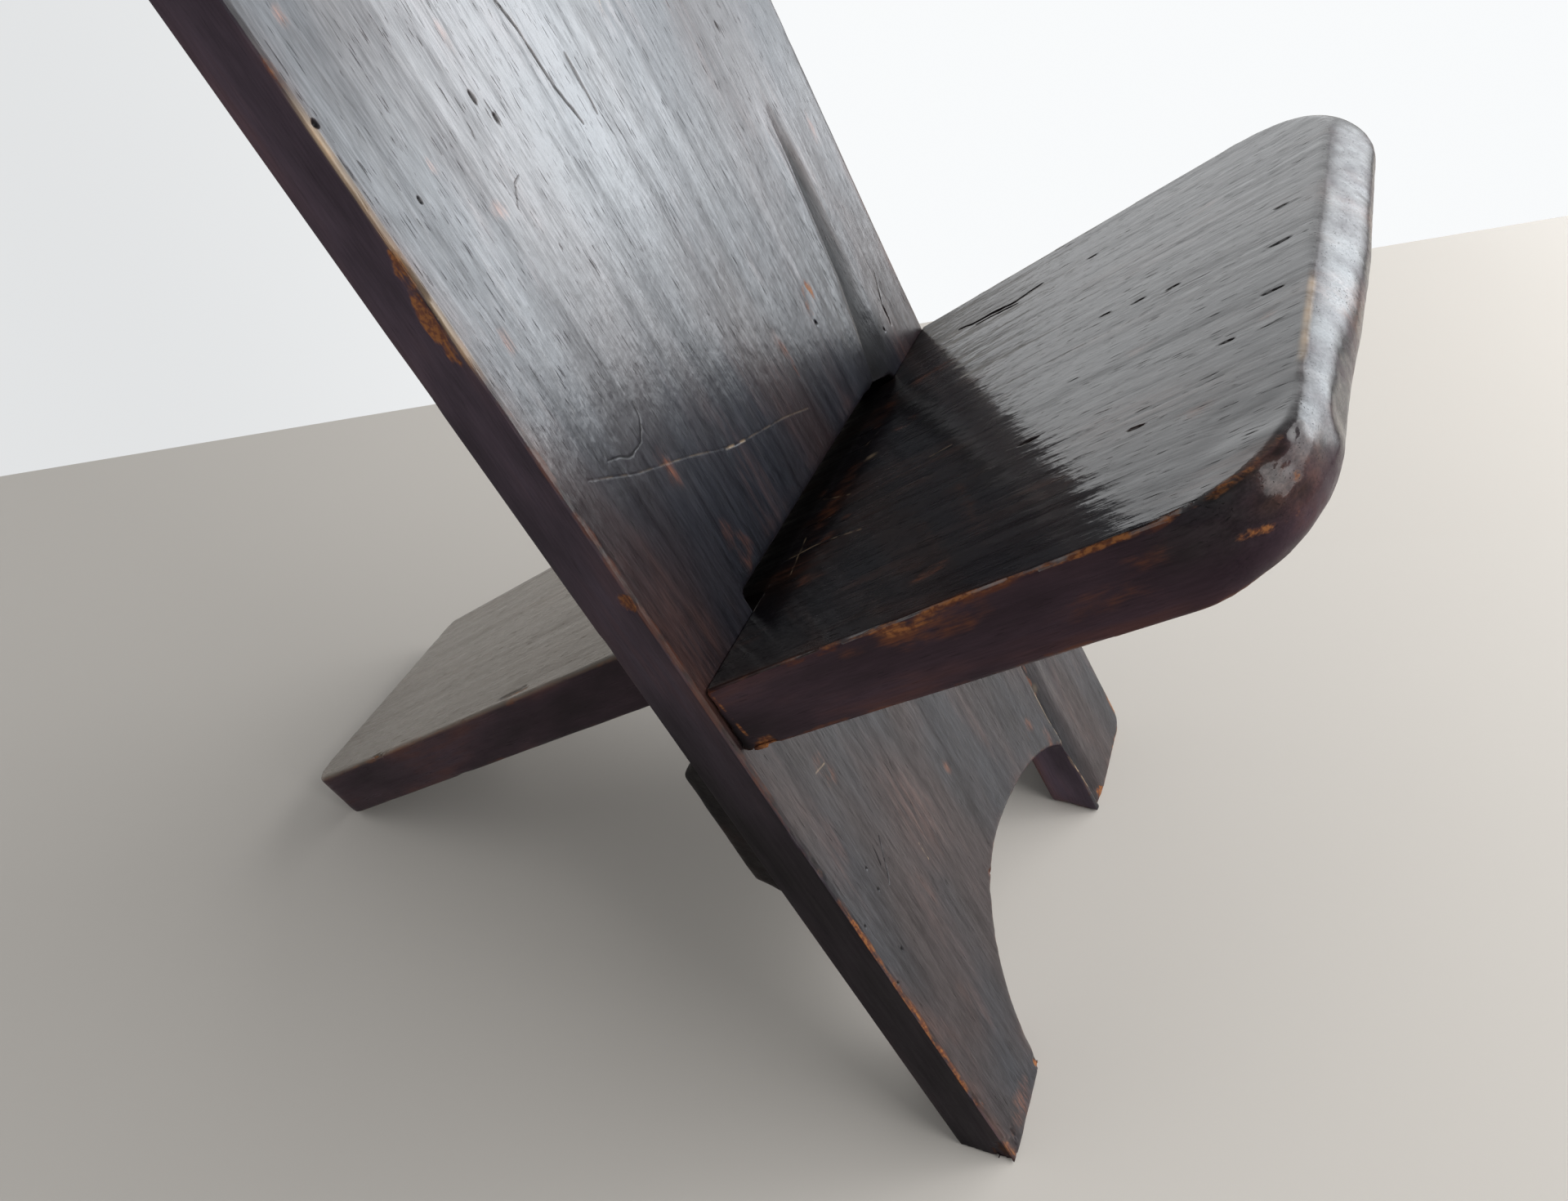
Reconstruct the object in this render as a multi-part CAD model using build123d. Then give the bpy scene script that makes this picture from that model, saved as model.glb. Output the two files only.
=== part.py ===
from build123d import *
import math
import os

# Two-plank birthing chair. The back plank stands on two feet and leans to the rear (+Y).
# The seat plank rises towards the front (-Y), rests its shoulders on the back plank's front
# face, and runs down through a slot in the back plank to a tail that ends on the floor.
# Millimetres and degrees, +Z up, origin under the middle of the chair's box on the floor.

# Driving dimensions: the two planks
back_lean = 26.8            # back plank, from the vertical towards the rear
back_thickness = 32.0
back_length = 860.0         # along the front face, floor to crown
back_width = 360.0          # at the waist, level with the seat
top_flare = 27.0            # how far the +X edge runs out from the waist to the top
foot_flare = 11.5           # the same, from the waist to the floor
crown_rise = 22.0           # height of the curved top over its corners
top_corner_radius = 34.0
waist_radius = 1200.0       # eases the +X edge's turn at the waist
seat_rise = 36.8            # seat plank, from the floor up towards the front
seat_thickness = 39.0
seat_height_along_back = 364.5   # floor to the seat's top, along the back's front face

# Driving dimensions: arch and feet
arch_height = 115.0         # along the front face
arch_crown_x = -30.0        # the arch is highest on this line
arch_near_reach = 83.0      # crown to the -X foot, at the floor
arch_far_reach = 154.0      # the flatter side's half width, if it ran down to the floor
far_foot_width = 99.0       # the +X foot, at the waist's edge line
arch_corner_radius = 9.0    # where the arch meets the +X foot's straight inner side
foot_corner_radius = 12.0

# Driving dimensions: seat in front of the back plank
seat_depth = 267.0          # top face, shoulder to nose line
nose_bulge = 14.0           # how far the rounded nose stands out past its top line
nose_under_share = 0.2      # share of the bulge left at the underside
near_inset = 5.0            # seat's -X shoulder, in from the back plank's edge
seat_flare_near = 7.0       # each side runs out by this much on its way to the nose
seat_flare_far = 12.0
near_corner_radius = 52.0
far_corner_radius = 58.0

# Driving dimensions: slot and tail
slot_width = 231.0
slot_gap = 10.4             # open wedge over the tail, at the front face
slot_corner_cut = 30.0      # how far the slot's +X top corner is cut across
slot_side_clearance = 2.5   # tail to the slot's +X side
slot_fit = 0.4              # tail to the slot's floor, and to its top at the rear
tail_length = 498.0         # along the top face, behind the shoulder
tail_width = 217.0          # at the shoulder
tail_taper = 18.0           # lost on the -X side, shoulder to end
tail_near_corner = 26.0
tail_far_corner = 9.0

# Driving dimensions: bearer under the tail and its pegs
bearer_end_inset = 12.0     # bearer's ends, in from the back plank's edges at the waist
bearer_length = back_width - 2 * bearer_end_inset
bearer_height = 98.0
bearer_thickness = 24.0
bearer_chamfer_depth = 11.0     # both long chamfers, measured through the thickness
bearer_top_chamfer = 7.5
bearer_low_chamfer = 11.0
bearer_end_radius = 5.0
bearer_fit = 0.4            # bearer's top face to the tail's underside
peg_count = 4
peg_radius = 5.0
peg_edge_inset = 42.0       # outermost pegs, in from the same edges
peg_spacing = (back_width - 2 * peg_edge_inset) / (peg_count - 1)
peg_depth = 20.0            # how far each peg goes into the back plank
peg_proud = 1.0             # how far its end stands out of the bearer
peg_fit = 0.05              # radial

edge_wear = 1.8             # worn edge all round both planks: a bevel, but round on the seat's front
overrun = 60.0              # how far cutting and trimmed bodies run past what they cross

# The two planks' own frames. Both have local X along the chair's X.
lean = math.radians(back_lean)
rise = math.radians(seat_rise)
# Local Y runs up the front face, and local Z points out of it.
back_face = Plane(origin=(0, 0, 0), x_dir=(1, 0, 0), z_dir=(0, -math.cos(lean), math.sin(lean)))
seat_line = back_face.from_local_coords(Vector(0, seat_height_along_back, 0))
# Local Y runs forward up the seat, and local Z points down through its thickness.
seat_top = Plane(origin=seat_line, x_dir=(1, 0, 0), z_dir=(0, -math.sin(rise), -math.cos(rise)))

# Sections across the slot are drawn in (height along the back, depth behind its front face).
skew = math.tan(rise - lean)                                    # seat's fall per unit of depth
seat_cut_height = seat_thickness / math.cos(rise - lean)        # seat measured up the back
seat_under_height = seat_height_along_back - seat_cut_height    # underside at the front face
back_side = Plane(origin=(0, 0, 0), x_dir=(0, math.sin(lean), math.cos(lean)), z_dir=(-1, 0, 0))


def side_prism(points, x_low, x_high):
    """A solid of one side section, drawn as (height, depth) points, from x_low to x_high."""
    outline = Polyline([(height, depth) for height, depth in points], close=True)
    face = back_side * make_face(outline)
    solid = extrude(face, amount=x_high - x_low, dir=(-1, 0, 0))
    return Pos(x_high, 0, 0) * solid


def lies_in(plane, edge):
    """True where the edge's ends and middle are all on the plane."""
    heights = [plane.to_local_coords(edge.position_at(share)).Z for share in (0.0, 0.5, 1.0)]
    return max(abs(height) for height in heights) < 1e-4


def outline_edges(solid, faces):
    """The edges all round a plank's outline, on both of its broad faces."""
    edges = ShapeList()
    for face in faces:
        edges += solid.edges().filter_by(lambda edge: lies_in(face, edge))
    return edges


def back_outline():
    """The back plank's face, from below the floor to the crown, before the arch is cut."""
    near = -back_width / 2
    far = back_width / 2
    top_far = far + top_flare
    corner_height = back_length - crown_rise
    low = -overrun
    foot_far = far + foot_flare * (seat_height_along_back - low) / seat_height_along_back
    middle = (near + top_far) / 2
    crown = ThreePointArc((top_far, corner_height), (middle, back_length), (near, corner_height))
    sides = Polyline((near, corner_height), (near, low), (foot_far, low),
                     (far, seat_height_along_back), (top_far, corner_height))
    face = make_face(Curve() + [crown, sides])
    top_corners = face.vertices().group_by(Axis.Y)[-1]
    face = fillet(top_corners, top_corner_radius)
    waist = face.vertices().sort_by_distance((far, seat_height_along_back))[0]
    return fillet(waist, waist_radius)


def arch_outline():
    """The arch: two quarter ellipses about one crown line, cut off by the +X foot's straight side."""
    foot_side = back_width / 2 + foot_flare - far_foot_width
    near_half = Ellipse(arch_near_reach, arch_height) & Pos(-arch_near_reach, 0) * Rectangle(
        2 * arch_near_reach, 2 * arch_height)
    reach = foot_side - arch_crown_x
    far_half = Ellipse(arch_far_reach, arch_height) & Pos(reach / 2, 0) * Rectangle(reach, 2 * arch_height)
    arch = Pos(arch_crown_x, 0) * (near_half + far_half)
    meeting = arch.vertices().filter_by(lambda v: v.Y > 0).sort_by(Axis.X)[-1]
    arch = fillet(meeting, arch_corner_radius)
    below = Pos(foot_side - (arch_near_reach + reach) / 2, -arch_height) * Rectangle(
        arch_near_reach + reach, 2 * arch_height)
    return arch + below


def slot_body():
    """What is cut from the back plank: level with the tail below, an open wedge above."""
    front_top = seat_height_along_back + slot_gap
    rear_top = seat_height_along_back - skew * back_thickness + slot_fit
    slope = (rear_top - front_top) / back_thickness
    bottom = seat_under_height - slot_fit
    before, behind = -overrun, back_thickness + overrun
    section = [
        (front_top + slope * before, before),
        (front_top + slope * behind, behind),
        (bottom - skew * behind, behind),
        (bottom - skew * before, before),
    ]
    half = slot_width / 2
    body = side_prism(section, -half, half)
    corner = Polyline((half - slot_corner_cut, front_top), (half + slot_fit, front_top + overrun),
                      (half + slot_fit, seat_height_along_back + slot_fit), close=True)
    corner_block = extrude(back_face * make_face(corner), amount=back_thickness + overrun, both=True)
    return body - corner_block


def build_back():
    """The back plank: level soles, arch, worn edges and the slot for the seat."""
    plank = extrude(back_face * (back_outline() - arch_outline()), amount=-back_thickness)
    plank = split(plank, bisect_by=Plane.XY, keep=Keep.TOP)
    outer_foot_edge = plank.edges().group_by(Axis.Z)[0].sort_by(Axis.X)[-1]
    plank = fillet(outer_foot_edge, foot_corner_radius)
    plank = chamfer(outline_edges(plank, [back_face, back_face.offset(-back_thickness)]), edge_wear)
    return plank - slot_body()


def seat_section(depth_below, bulge):
    """One level of the seat's wide part, as a face at depth_below under the top."""
    near = -back_width / 2 + near_inset
    far = back_width / 2
    front = seat_depth + bulge
    outline = Polyline((near, -overrun), (far, -overrun), (far + seat_flare_far, front),
                       (near - seat_flare_near, front), close=True)
    face = make_face(outline)
    corners = face.vertices().group_by(Axis.Y)[-1].sort_by(Axis.X)
    face = fillet(corners[0], near_corner_radius)
    far_corner = face.vertices().sort_by(lambda v: v.X + v.Y)[-1]
    face = fillet(far_corner, far_corner_radius)
    return seat_top.offset(depth_below) * face


def tail_outline():
    """The tail's plan, from inside the wide part to its rounded end."""
    far = slot_width / 2 - slot_side_clearance
    near = far - tail_width
    root = seat_depth / 2
    root_near = near - tail_taper * root / tail_length
    plan = make_face(Polyline((root_near, root), (far, root), (far, -tail_length),
                              (near + tail_taper, -tail_length), close=True))
    near_end = plan.vertices().sort_by(lambda v: v.X + v.Y)[0]
    plan = fillet(near_end, tail_near_corner)
    far_end = plan.vertices().sort_by(lambda v: v.Y - v.X)[0]
    return fillet(far_end, tail_far_corner)


def build_seat():
    """Wide front part with a rounded nose, and the narrower tail that runs down to the floor."""
    faces = [seat_top, seat_top.offset(seat_thickness)]
    wide = loft([
        seat_section(0, 0),
        seat_section(seat_thickness / 2, nose_bulge),
        seat_section(seat_thickness, nose_bulge * nose_under_share),
    ])
    wide = fillet(outline_edges(wide, faces), edge_wear)
    wide = split(wide, bisect_by=back_face, keep=Keep.TOP)
    tail = extrude(seat_top * tail_outline(), amount=seat_thickness)
    tail = chamfer(outline_edges(tail, faces), edge_wear)
    tail = split(tail, bisect_by=Plane.XY, keep=Keep.TOP)
    return wide + tail


def bearer_span():
    """The bearer's top and bottom heights along the back, at the back plank's rear face."""
    top = seat_under_height - skew * back_thickness - bearer_fit
    return top, top - bearer_height


def rear_distance(edge):
    """How far an edge's middle stands out of the back plank's rear face."""
    return -back_face.to_local_coords(edge.position_at(0.5)).Z - back_thickness


def build_bearer():
    """The cross piece behind the back plank, with its top face cut to carry the tail."""
    top, low = bearer_span()
    inner = back_thickness
    outer = back_thickness + bearer_thickness
    step = outer - bearer_chamfer_depth
    step_top = top - skew * (step - inner)
    section = [
        (top, inner),
        (step_top, step),
        (step_top - bearer_top_chamfer, outer),
        (low + bearer_low_chamfer, outer),
        (low, step),
        (low, inner),
    ]
    bearer = side_prism(section, -bearer_length / 2, bearer_length / 2)
    straight_depth = bearer_thickness - bearer_chamfer_depth
    end_edges = ShapeList()
    for end in bearer.faces().filter_by(Axis.X):
        end_edges += end.edges().filter_by(lambda e: rear_distance(e) > straight_depth)
    return fillet(end_edges, bearer_end_radius)


def peg_places():
    """Where the pegs' axes cross the bearer's outer face, with local Z towards the front."""
    top, low = bearer_span()
    first = -(peg_count - 1) / 2 * peg_spacing
    for number in range(peg_count):
        outer = -back_thickness - bearer_thickness
        yield back_face * Pos(first + number * peg_spacing, (top + low) / 2, outer)


def peg_cylinder(place, radius, outside):
    """A round body from outside the bearer to the bottom of the peg's blind hole."""
    length = outside + bearer_thickness + peg_depth
    return place * Pos(0, 0, -outside) * extrude(Circle(radius), amount=length)


back_plank = build_back()
seat_plank = build_seat()
rear_bearer = build_bearer()

pegs = []
for place in peg_places():
    hole = peg_cylinder(place, peg_radius + peg_fit, overrun)
    back_plank -= hole
    rear_bearer -= hole
    pegs.append(peg_cylinder(place, peg_radius, peg_proud))

nodes = {"back_plank": back_plank, "rear_bearer": rear_bearer, "seat_plank": seat_plank}
nodes.update({f"bearer_peg_{number}": peg for number, peg in enumerate(pegs, start=1)})

box = Compound(list(nodes.values())).bounding_box()
centring = Pos(-box.center().X, -box.center().Y, -box.min.Z)

os.makedirs("parts", exist_ok=True)
for name, solid in nodes.items():
    export_step(centring * solid, f"parts/{name}.step")
    print(name, round(solid.volume), "mm3")
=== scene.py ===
"""Dresses a two-plank birthing chair: worn hardwood planks, a rough bearer, whittled pegs and a plain floor.

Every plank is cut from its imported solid, sculpted in the plank's own directions (across, along the grain
and through the thickness, in millimetres) and finished with a procedural wood. Nothing is read but the frame.
"""

import logging
import math
from dataclasses import dataclass, field
from enum import Enum

import bmesh
import bpy
import numpy as np
from mathutils import Matrix, Vector


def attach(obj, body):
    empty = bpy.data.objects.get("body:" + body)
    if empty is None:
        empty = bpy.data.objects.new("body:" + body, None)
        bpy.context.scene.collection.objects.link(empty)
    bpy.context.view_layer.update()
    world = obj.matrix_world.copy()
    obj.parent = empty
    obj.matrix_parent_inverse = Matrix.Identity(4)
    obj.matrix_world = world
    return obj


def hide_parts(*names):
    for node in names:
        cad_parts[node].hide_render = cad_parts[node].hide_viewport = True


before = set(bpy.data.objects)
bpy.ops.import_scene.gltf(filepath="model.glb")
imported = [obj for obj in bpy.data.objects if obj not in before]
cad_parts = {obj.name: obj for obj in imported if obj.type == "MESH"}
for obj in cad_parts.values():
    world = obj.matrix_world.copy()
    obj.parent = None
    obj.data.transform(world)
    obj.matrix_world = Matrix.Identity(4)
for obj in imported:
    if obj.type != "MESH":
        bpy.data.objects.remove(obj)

LOG = logging.getLogger("birthing_chair")
MM = 0.001
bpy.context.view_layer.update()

Colour = tuple[float, float, float]
Tint = tuple[int, int, int]
Point = tuple[float, float]
Place = tuple[float, float, float]
Socket = bpy.types.NodeSocket

UP: Place = (0.0, 0.0, 1.0)
ROOM_TINT: Colour = (0.97, 0.985, 1.0)
WALL_TINT: Colour = (0.975, 0.99, 1.0)
PANEL_TINT: Colour = (0.89, 0.95, 1.0)


def written(red: int, green: int, blue: int) -> Colour:
    """Turns a colour written as 0 to 255 into the light values that a shader takes."""
    shares = [value / 255 for value in (red, green, blue)]
    return tuple(s / 12.92 if s <= 0.04045 else ((s + 0.055) / 1.055) ** 2.4 for s in shares)


def ease(low: float, high: float, values: np.ndarray) -> np.ndarray:
    """Rises smoothly from 0 at low to 1 at high. High may be the smaller one."""
    share = np.clip((values - low) / (high - low), 0.0, 1.0)
    return share * share * (3 - 2 * share)


def hump(values: np.ndarray, centre: float, width: float) -> np.ndarray:
    """A soft hump: 1 at the centre, and about a third at one width from it."""
    return np.exp(-((values - centre) / width) ** 2)


def gathered(items: bpy.types.bpy_prop_collection, name: str, width: int, kind: type = float) -> np.ndarray:
    """Reads one property of every item, a row for each.

    Args:
        items: A mesh's points, edges or faces, their normals, or an attribute's values.
        name: The property.
        width: How many numbers it has.
        kind: What kind of numbers they are.

    Returns:
        The rows.
    """
    values = np.empty(len(items) * width, dtype=kind)
    items.foreach_get(name, values)
    return values.reshape(-1, width)


def placed(name: str, data: bpy.types.ID) -> bpy.types.Object:
    """Makes an object of a mesh, lamp or lens, and puts it in the scene."""
    made = bpy.data.objects.new(name, data)
    bpy.context.scene.collection.objects.link(made)
    return made


class SoftNoise:
    """Repeatable smooth noise in three directions, from a seeded block of numbers."""

    SIZE = 48
    LAYER_SHIFT = 37.3

    def __init__(self, seed: int) -> None:
        """Fills the block. The same seed gives the same noise."""
        self.block = np.random.default_rng(seed).uniform(-1.0, 1.0, (self.SIZE,) * 3)

    def at(self, places: np.ndarray, pitch: Place) -> np.ndarray:
        """Reads the noise.

        Args:
            places: Points, one row each.
            pitch: Size of one noise cell in each direction, in the points' unit.

        Returns:
            One value from -1 to 1 for each point.
        """
        scaled = places / np.asarray(pitch)
        cell = np.floor(scaled).astype(int)
        share = scaled - cell
        share = share * share * (3 - 2 * share)
        total = np.zeros(len(places))
        for corner in np.ndindex(2, 2, 2):
            index = (cell + corner) % self.SIZE
            weight = np.prod(np.where(corner, share, 1 - share), axis=1)
            total += weight * self.block[index[:, 0], index[:, 1], index[:, 2]]
        return total

    def rough(self, places: np.ndarray, pitch: Place, layers: int = 3) -> np.ndarray:
        """Adds finer and weaker layers of the noise.

        Args:
            places: Points, one row each.
            pitch: Cell size of the coarsest layer.
            layers: How many layers.

        Returns:
            One value for each point, mostly from -1 to 1.
        """
        total = np.zeros(len(places))
        for layer in range(layers):
            shrink = 2.0 ** layer
            total += self.at(places + self.LAYER_SHIFT * layer, tuple(p / shrink for p in pitch)) / shrink
        return total


class Side(Enum):
    """Which of a plank's two broad faces a mark is on."""

    SHOW = 1
    HIDDEN = -1


class Wear(Enum):
    """What a worn place shows. The dark one also serves for painted shade and painted dark reflections."""

    BARE = "bare"
    RUST = "rust"
    PALE = "pale"
    SOOT_AND_SHADE = "soot_and_shade"
    SHINE = "shine"


@dataclass(frozen=True)
class PlankAxes:
    """A plank's own directions in the row frame.

    Its local numbers are (across, along, through) in millimetres: across is the chair's X, along runs up the
    grain, and through goes in from the show face.
    """

    origin: Place
    along: Place
    through: Place

    def matrix(self) -> np.ndarray:
        """The three directions as rows."""
        return np.array([(1.0, 0.0, 0.0), self.along, self.through])

    def to_local(self, places: np.ndarray) -> np.ndarray:
        """Row-frame metres to local millimetres."""
        return (places - np.array(self.origin)) @ self.matrix().T / MM

    def to_row(self, local: np.ndarray) -> np.ndarray:
        """Local millimetres to row-frame metres."""
        return local * MM @ self.matrix() + np.array(self.origin)

    def turned(self) -> Matrix:
        """A turn, without mirroring, that lays the plank flat along the world's axes."""
        rows = self.matrix()
        if np.linalg.det(rows) < 0:
            rows[2] = -rows[2]
        turn = Matrix([list(row) for row in rows]).to_4x4()
        return turn @ Matrix.Translation(-Vector(self.origin))


class Region:
    """Points of a surface, with their outward directions and painted amounts."""

    PAINTS = ("edge", "halo", "bare", "rust", "pale", "soot_and_shade", "film", "shine", "figure")

    def __init__(self, local: np.ndarray, normal: np.ndarray, paint: dict[str, np.ndarray]) -> None:
        """Holds the arrays.

        Args:
            local: Local points.
            normal: Their outward directions.
            paint: One array for each painted amount.
        """
        self.local = local
        self.normal = normal
        self.paint = paint

    def press(self, depth: np.ndarray) -> None:
        """Moves points inwards along their own directions, in millimetres."""
        self.local = self.local - self.normal * depth[:, None]

    def carve(self, depth: np.ndarray, skin_depth: float = 12.0) -> None:
        """Cuts down from the show face to the given depth. Points below skin_depth stay where they are."""
        shallow = self.local[:, 2] < skin_depth
        self.local[shallow, 2] = np.maximum(self.local[shallow, 2], depth[shallow])

    def facing(self, side: Side, least: float = 0.35) -> np.ndarray:
        """1 for a point that faces at least so squarely to the side and 0 elsewhere, with a short blend."""
        outward = -self.normal[:, 2] * side.value
        return ease(least - 0.2, least + 0.2, outward)

    def darken(self, name: str, amount: np.ndarray) -> None:
        """Raises a paint to at least the given amount."""
        self.paint[name] = np.maximum(self.paint[name], np.clip(amount, 0, 1))


class Skin(Region):
    """A piece's whole surface while it is being sculpted."""

    def __init__(self, mesh: bpy.types.Mesh, axes: PlankAxes) -> None:
        """Reads a mesh into arrays.

        Args:
            mesh: A closed mesh in the row frame.
            axes: The plank's own directions.
        """
        self.mesh = mesh
        self.axes = axes
        self.take()
        self.paint = {name: np.zeros(len(self.local)) for name in self.PAINTS}

    def take(self) -> None:
        """Reads the mesh's points and edges into arrays."""
        self.local = self.axes.to_local(gathered(self.mesh.vertices, "co", 3))
        self.ends = gathered(self.mesh.edges, "vertices", 2, np.int32)
        self.degree = np.maximum(np.bincount(self.ends.ravel(), minlength=len(self.local)), 1)
        self.measure()

    def refine(self, marks: list["Mark"], rounds: int = 2) -> None:
        """Halves the faces round the marks, so that fine ones come out sharp.

        Args:
            marks: The marks that will be cut.
            rounds: How often the faces are halved.
        """
        self.measure()
        kept = ("edge", "halo")
        for name in kept:
            self.lay(name, self.paint[name])
        for _ in range(rounds):
            local = self.axes.to_local(gathered(self.mesh.polygons, "center", 3))
            wanted = np.zeros(len(local), dtype=bool)
            for mark in marks:
                rows = mark.near(local)
                wanted[rows] |= mark.zone(local[rows])
            net = bmesh.new()
            net.from_mesh(self.mesh)
            net.faces.ensure_lookup_table()
            edges = {edge for index in np.flatnonzero(wanted) for edge in net.faces[index].edges}
            bmesh.ops.subdivide_edges(net, edges=list(edges), cuts=1, use_grid_fill=True)
            net.to_mesh(self.mesh)
            net.free()
        self.take()
        self.paint = {name: np.zeros(len(self.local)) for name in self.PAINTS}
        for name in kept:
            layer = self.mesh.attributes[name]
            self.paint[name] = gathered(layer.data, "value", 1)[:, 0]
            self.mesh.attributes.remove(layer)

    def cut(self, mark: "Mark") -> None:
        """Cuts a mark into the points near it.

        Args:
            mark: The mark.
        """
        rows = mark.near(self.local)
        part = Region(self.local[rows], self.normal[rows], {name: v[rows] for name, v in self.paint.items()})
        mark.cut(part)
        self.local[rows] = part.local
        for name, values in part.paint.items():
            self.paint[name][rows] = values

    def measure(self) -> None:
        """Works out the outward directions again from the points, which stay above the floor."""
        places = self.axes.to_row(self.local)
        places[:, 2] = np.maximum(places[:, 2], 0.0)
        self.local = self.axes.to_local(places)
        self.mesh.vertices.foreach_set("co", places.ravel())
        self.mesh.update()
        self.normal = gathered(self.mesh.vertex_normals, "vector", 3) @ self.axes.matrix().T

    def spread(self, values: np.ndarray, times: int = 1, share: float = 0.5) -> np.ndarray:
        """Evens values out over neighbouring points.

        Args:
            values: One number, or one row, for each point.
            times: How many rounds.
            share: How far each round goes towards the neighbours' mean.

        Returns:
            The evened values.
        """
        flat = values.reshape(len(self.local), -1).copy()
        first, second = self.ends[:, 0], self.ends[:, 1]
        for _ in range(times):
            for column in range(flat.shape[1]):
                held = flat[:, column]
                total = np.bincount(first, weights=held[second], minlength=len(held))
                total += np.bincount(second, weights=held[first], minlength=len(held))
                flat[:, column] = held + share * (total / self.degree - held)
        return flat.reshape(values.shape)

    def flatten(self, levels: tuple[float, ...], reach: float = 0.7) -> None:
        """Sets the broad faces exactly on their planes.

        Args:
            levels: Depths of the faces, in millimetres.
            reach: How far off its plane a point may be.
        """
        facing = np.abs(self.normal[:, 2]) > 0.97
        for level in levels:
            near = facing & (np.abs(self.local[:, 2] - level) < reach)
            self.local[near, 2] = level

    def round_over(self, times: int) -> None:
        """Softens corners by evening out the points."""
        self.local = self.spread(self.local, times)
        self.measure()

    def find_edges(self, top: float = 85.0, halo_rounds: int = 16) -> None:
        """Paints how close each point is to an outward corner.

        Args:
            top: The share of the corners' points, in percent, that stays below full paint.
            halo_rounds: How far the paint's soft halo spreads.
        """
        pull = self.spread(self.local, 1, 1.0) - self.local
        bulge = -np.einsum("ij,ij->i", pull, self.normal)
        bulge = np.clip(self.spread(np.clip(bulge, -1.0, 1.0), 1), 0, None)
        level = np.percentile(bulge[bulge > 0.03], top)
        self.paint["edge"] = np.clip(self.spread(np.clip(bulge / level, 0, 1.3)), 0, 1)
        halo = self.spread(self.paint["edge"], halo_rounds)
        self.paint["halo"] = np.clip(halo / np.percentile(halo[halo > 0.02], top), 0, 1)

    def lay(self, name: str, values: np.ndarray) -> None:
        """Adds an attribute to the mesh's points.

        Args:
            name: The attribute's name.
            values: One number, or one row of three, for each point.
        """
        kind, part = ("FLOAT_VECTOR", "vector") if values.ndim > 1 else ("FLOAT", "value")
        self.mesh.attributes.new(name, kind, "POINT").data.foreach_set(part, values.ravel())

    def write(self, grain: tuple[int, int, int] = (0, 1, 2)) -> bpy.types.Mesh:
        """Writes the points and paints back into the mesh.

        Args:
            grain: Which local directions lie across, along and through the grain.

        Returns:
            The finished mesh.
        """
        self.measure()
        self.lay("grain", self.local[:, grain] * MM)
        for name, values in self.paint.items():
            self.lay(name, np.clip(values, 0, 1))
        self.mesh.polygons.foreach_set("use_smooth", np.ones(len(self.mesh.polygons), dtype=bool))
        self.mesh.update()
        return self.mesh


RAGGED = SoftNoise(71)


def near_path(places: np.ndarray, path: tuple[tuple[float, ...], ...]
              ) -> tuple[np.ndarray, np.ndarray, np.ndarray]:
    """Measures points against a bent line.

    Args:
        places: Local points.
        path: The line's corners, as (across, along) or as (across, along, through).

    Returns:
        The distance to the line, the side it lies on (above 0 towards +across for a line that runs down the
        grain), and the share of the line's length at the nearest place.
    """
    corners = np.array(path, dtype=float)
    flat = places[:, :corners.shape[1]]
    lengths = np.linalg.norm(np.diff(corners, axis=0), axis=1)
    travelled = np.concatenate([[0.0], np.cumsum(lengths)])
    best = np.full(len(places), np.inf)
    side = np.zeros(len(places))
    share = np.zeros(len(places))
    for index, length in enumerate(lengths):
        start = corners[index]
        step = (corners[index + 1] - start) / length
        offset = flat - start
        run = np.clip(offset @ step, 0, length)
        gap = offset - run[:, None] * step
        distance = np.linalg.norm(gap, axis=1)
        closer = distance < best
        best[closer] = distance[closer]
        side[closer] = (gap[:, 1] * step[0] - gap[:, 0] * step[1])[closer]
        share[closer] = ((travelled[index] + run) / travelled[-1])[closer]
    return best, np.sign(side), share


class Mark:
    """Something that use has left on a plank."""

    def outline(self) -> tuple[np.ndarray, float]:
        """The points that the mark runs between, and how far it reaches round them."""
        raise NotImplementedError

    def near(self, local: np.ndarray) -> np.ndarray:
        """Picks the points inside the mark's own box.

        Args:
            local: Local points.

        Returns:
            The rows of those points.
        """
        places, reach = self.outline()
        local = local[:, :places.shape[1]]
        inside = (local > places.min(axis=0) - reach) & (local < places.max(axis=0) + reach)
        return np.flatnonzero(inside.all(axis=1))

    def zone(self, local: np.ndarray) -> np.ndarray:
        """Marks the places that need smaller faces; none do unless the mark says so."""
        return np.zeros(len(local), dtype=bool)

    def cut(self, skin: Region) -> None:
        """Cuts the mark into a surface and paints it."""
        raise NotImplementedError


@dataclass(frozen=True)
class PathMark(Mark):
    """A mark along a bent line on one broad face."""

    path: tuple[Point, ...]
    side: Side = Side.SHOW
    width: float = 1.0
    face_reach: float = 7.0
    spare: float = 12.0

    def outline(self) -> tuple[np.ndarray, float]:
        """The line's corners and the mark's half width."""
        return np.array(self.path, dtype=float), self.half_width() + self.spare

    def half_width(self) -> float:
        """How far the mark reaches to each side."""
        return self.width

    def zone(self, local: np.ndarray) -> np.ndarray:
        """Marks the places along the line, near its own face."""
        on_face = (local[:, 2] < self.face_reach) == (self.side is Side.SHOW)
        return (near_path(local, self.path)[0] < self.half_width() + 2.0) & on_face


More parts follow.
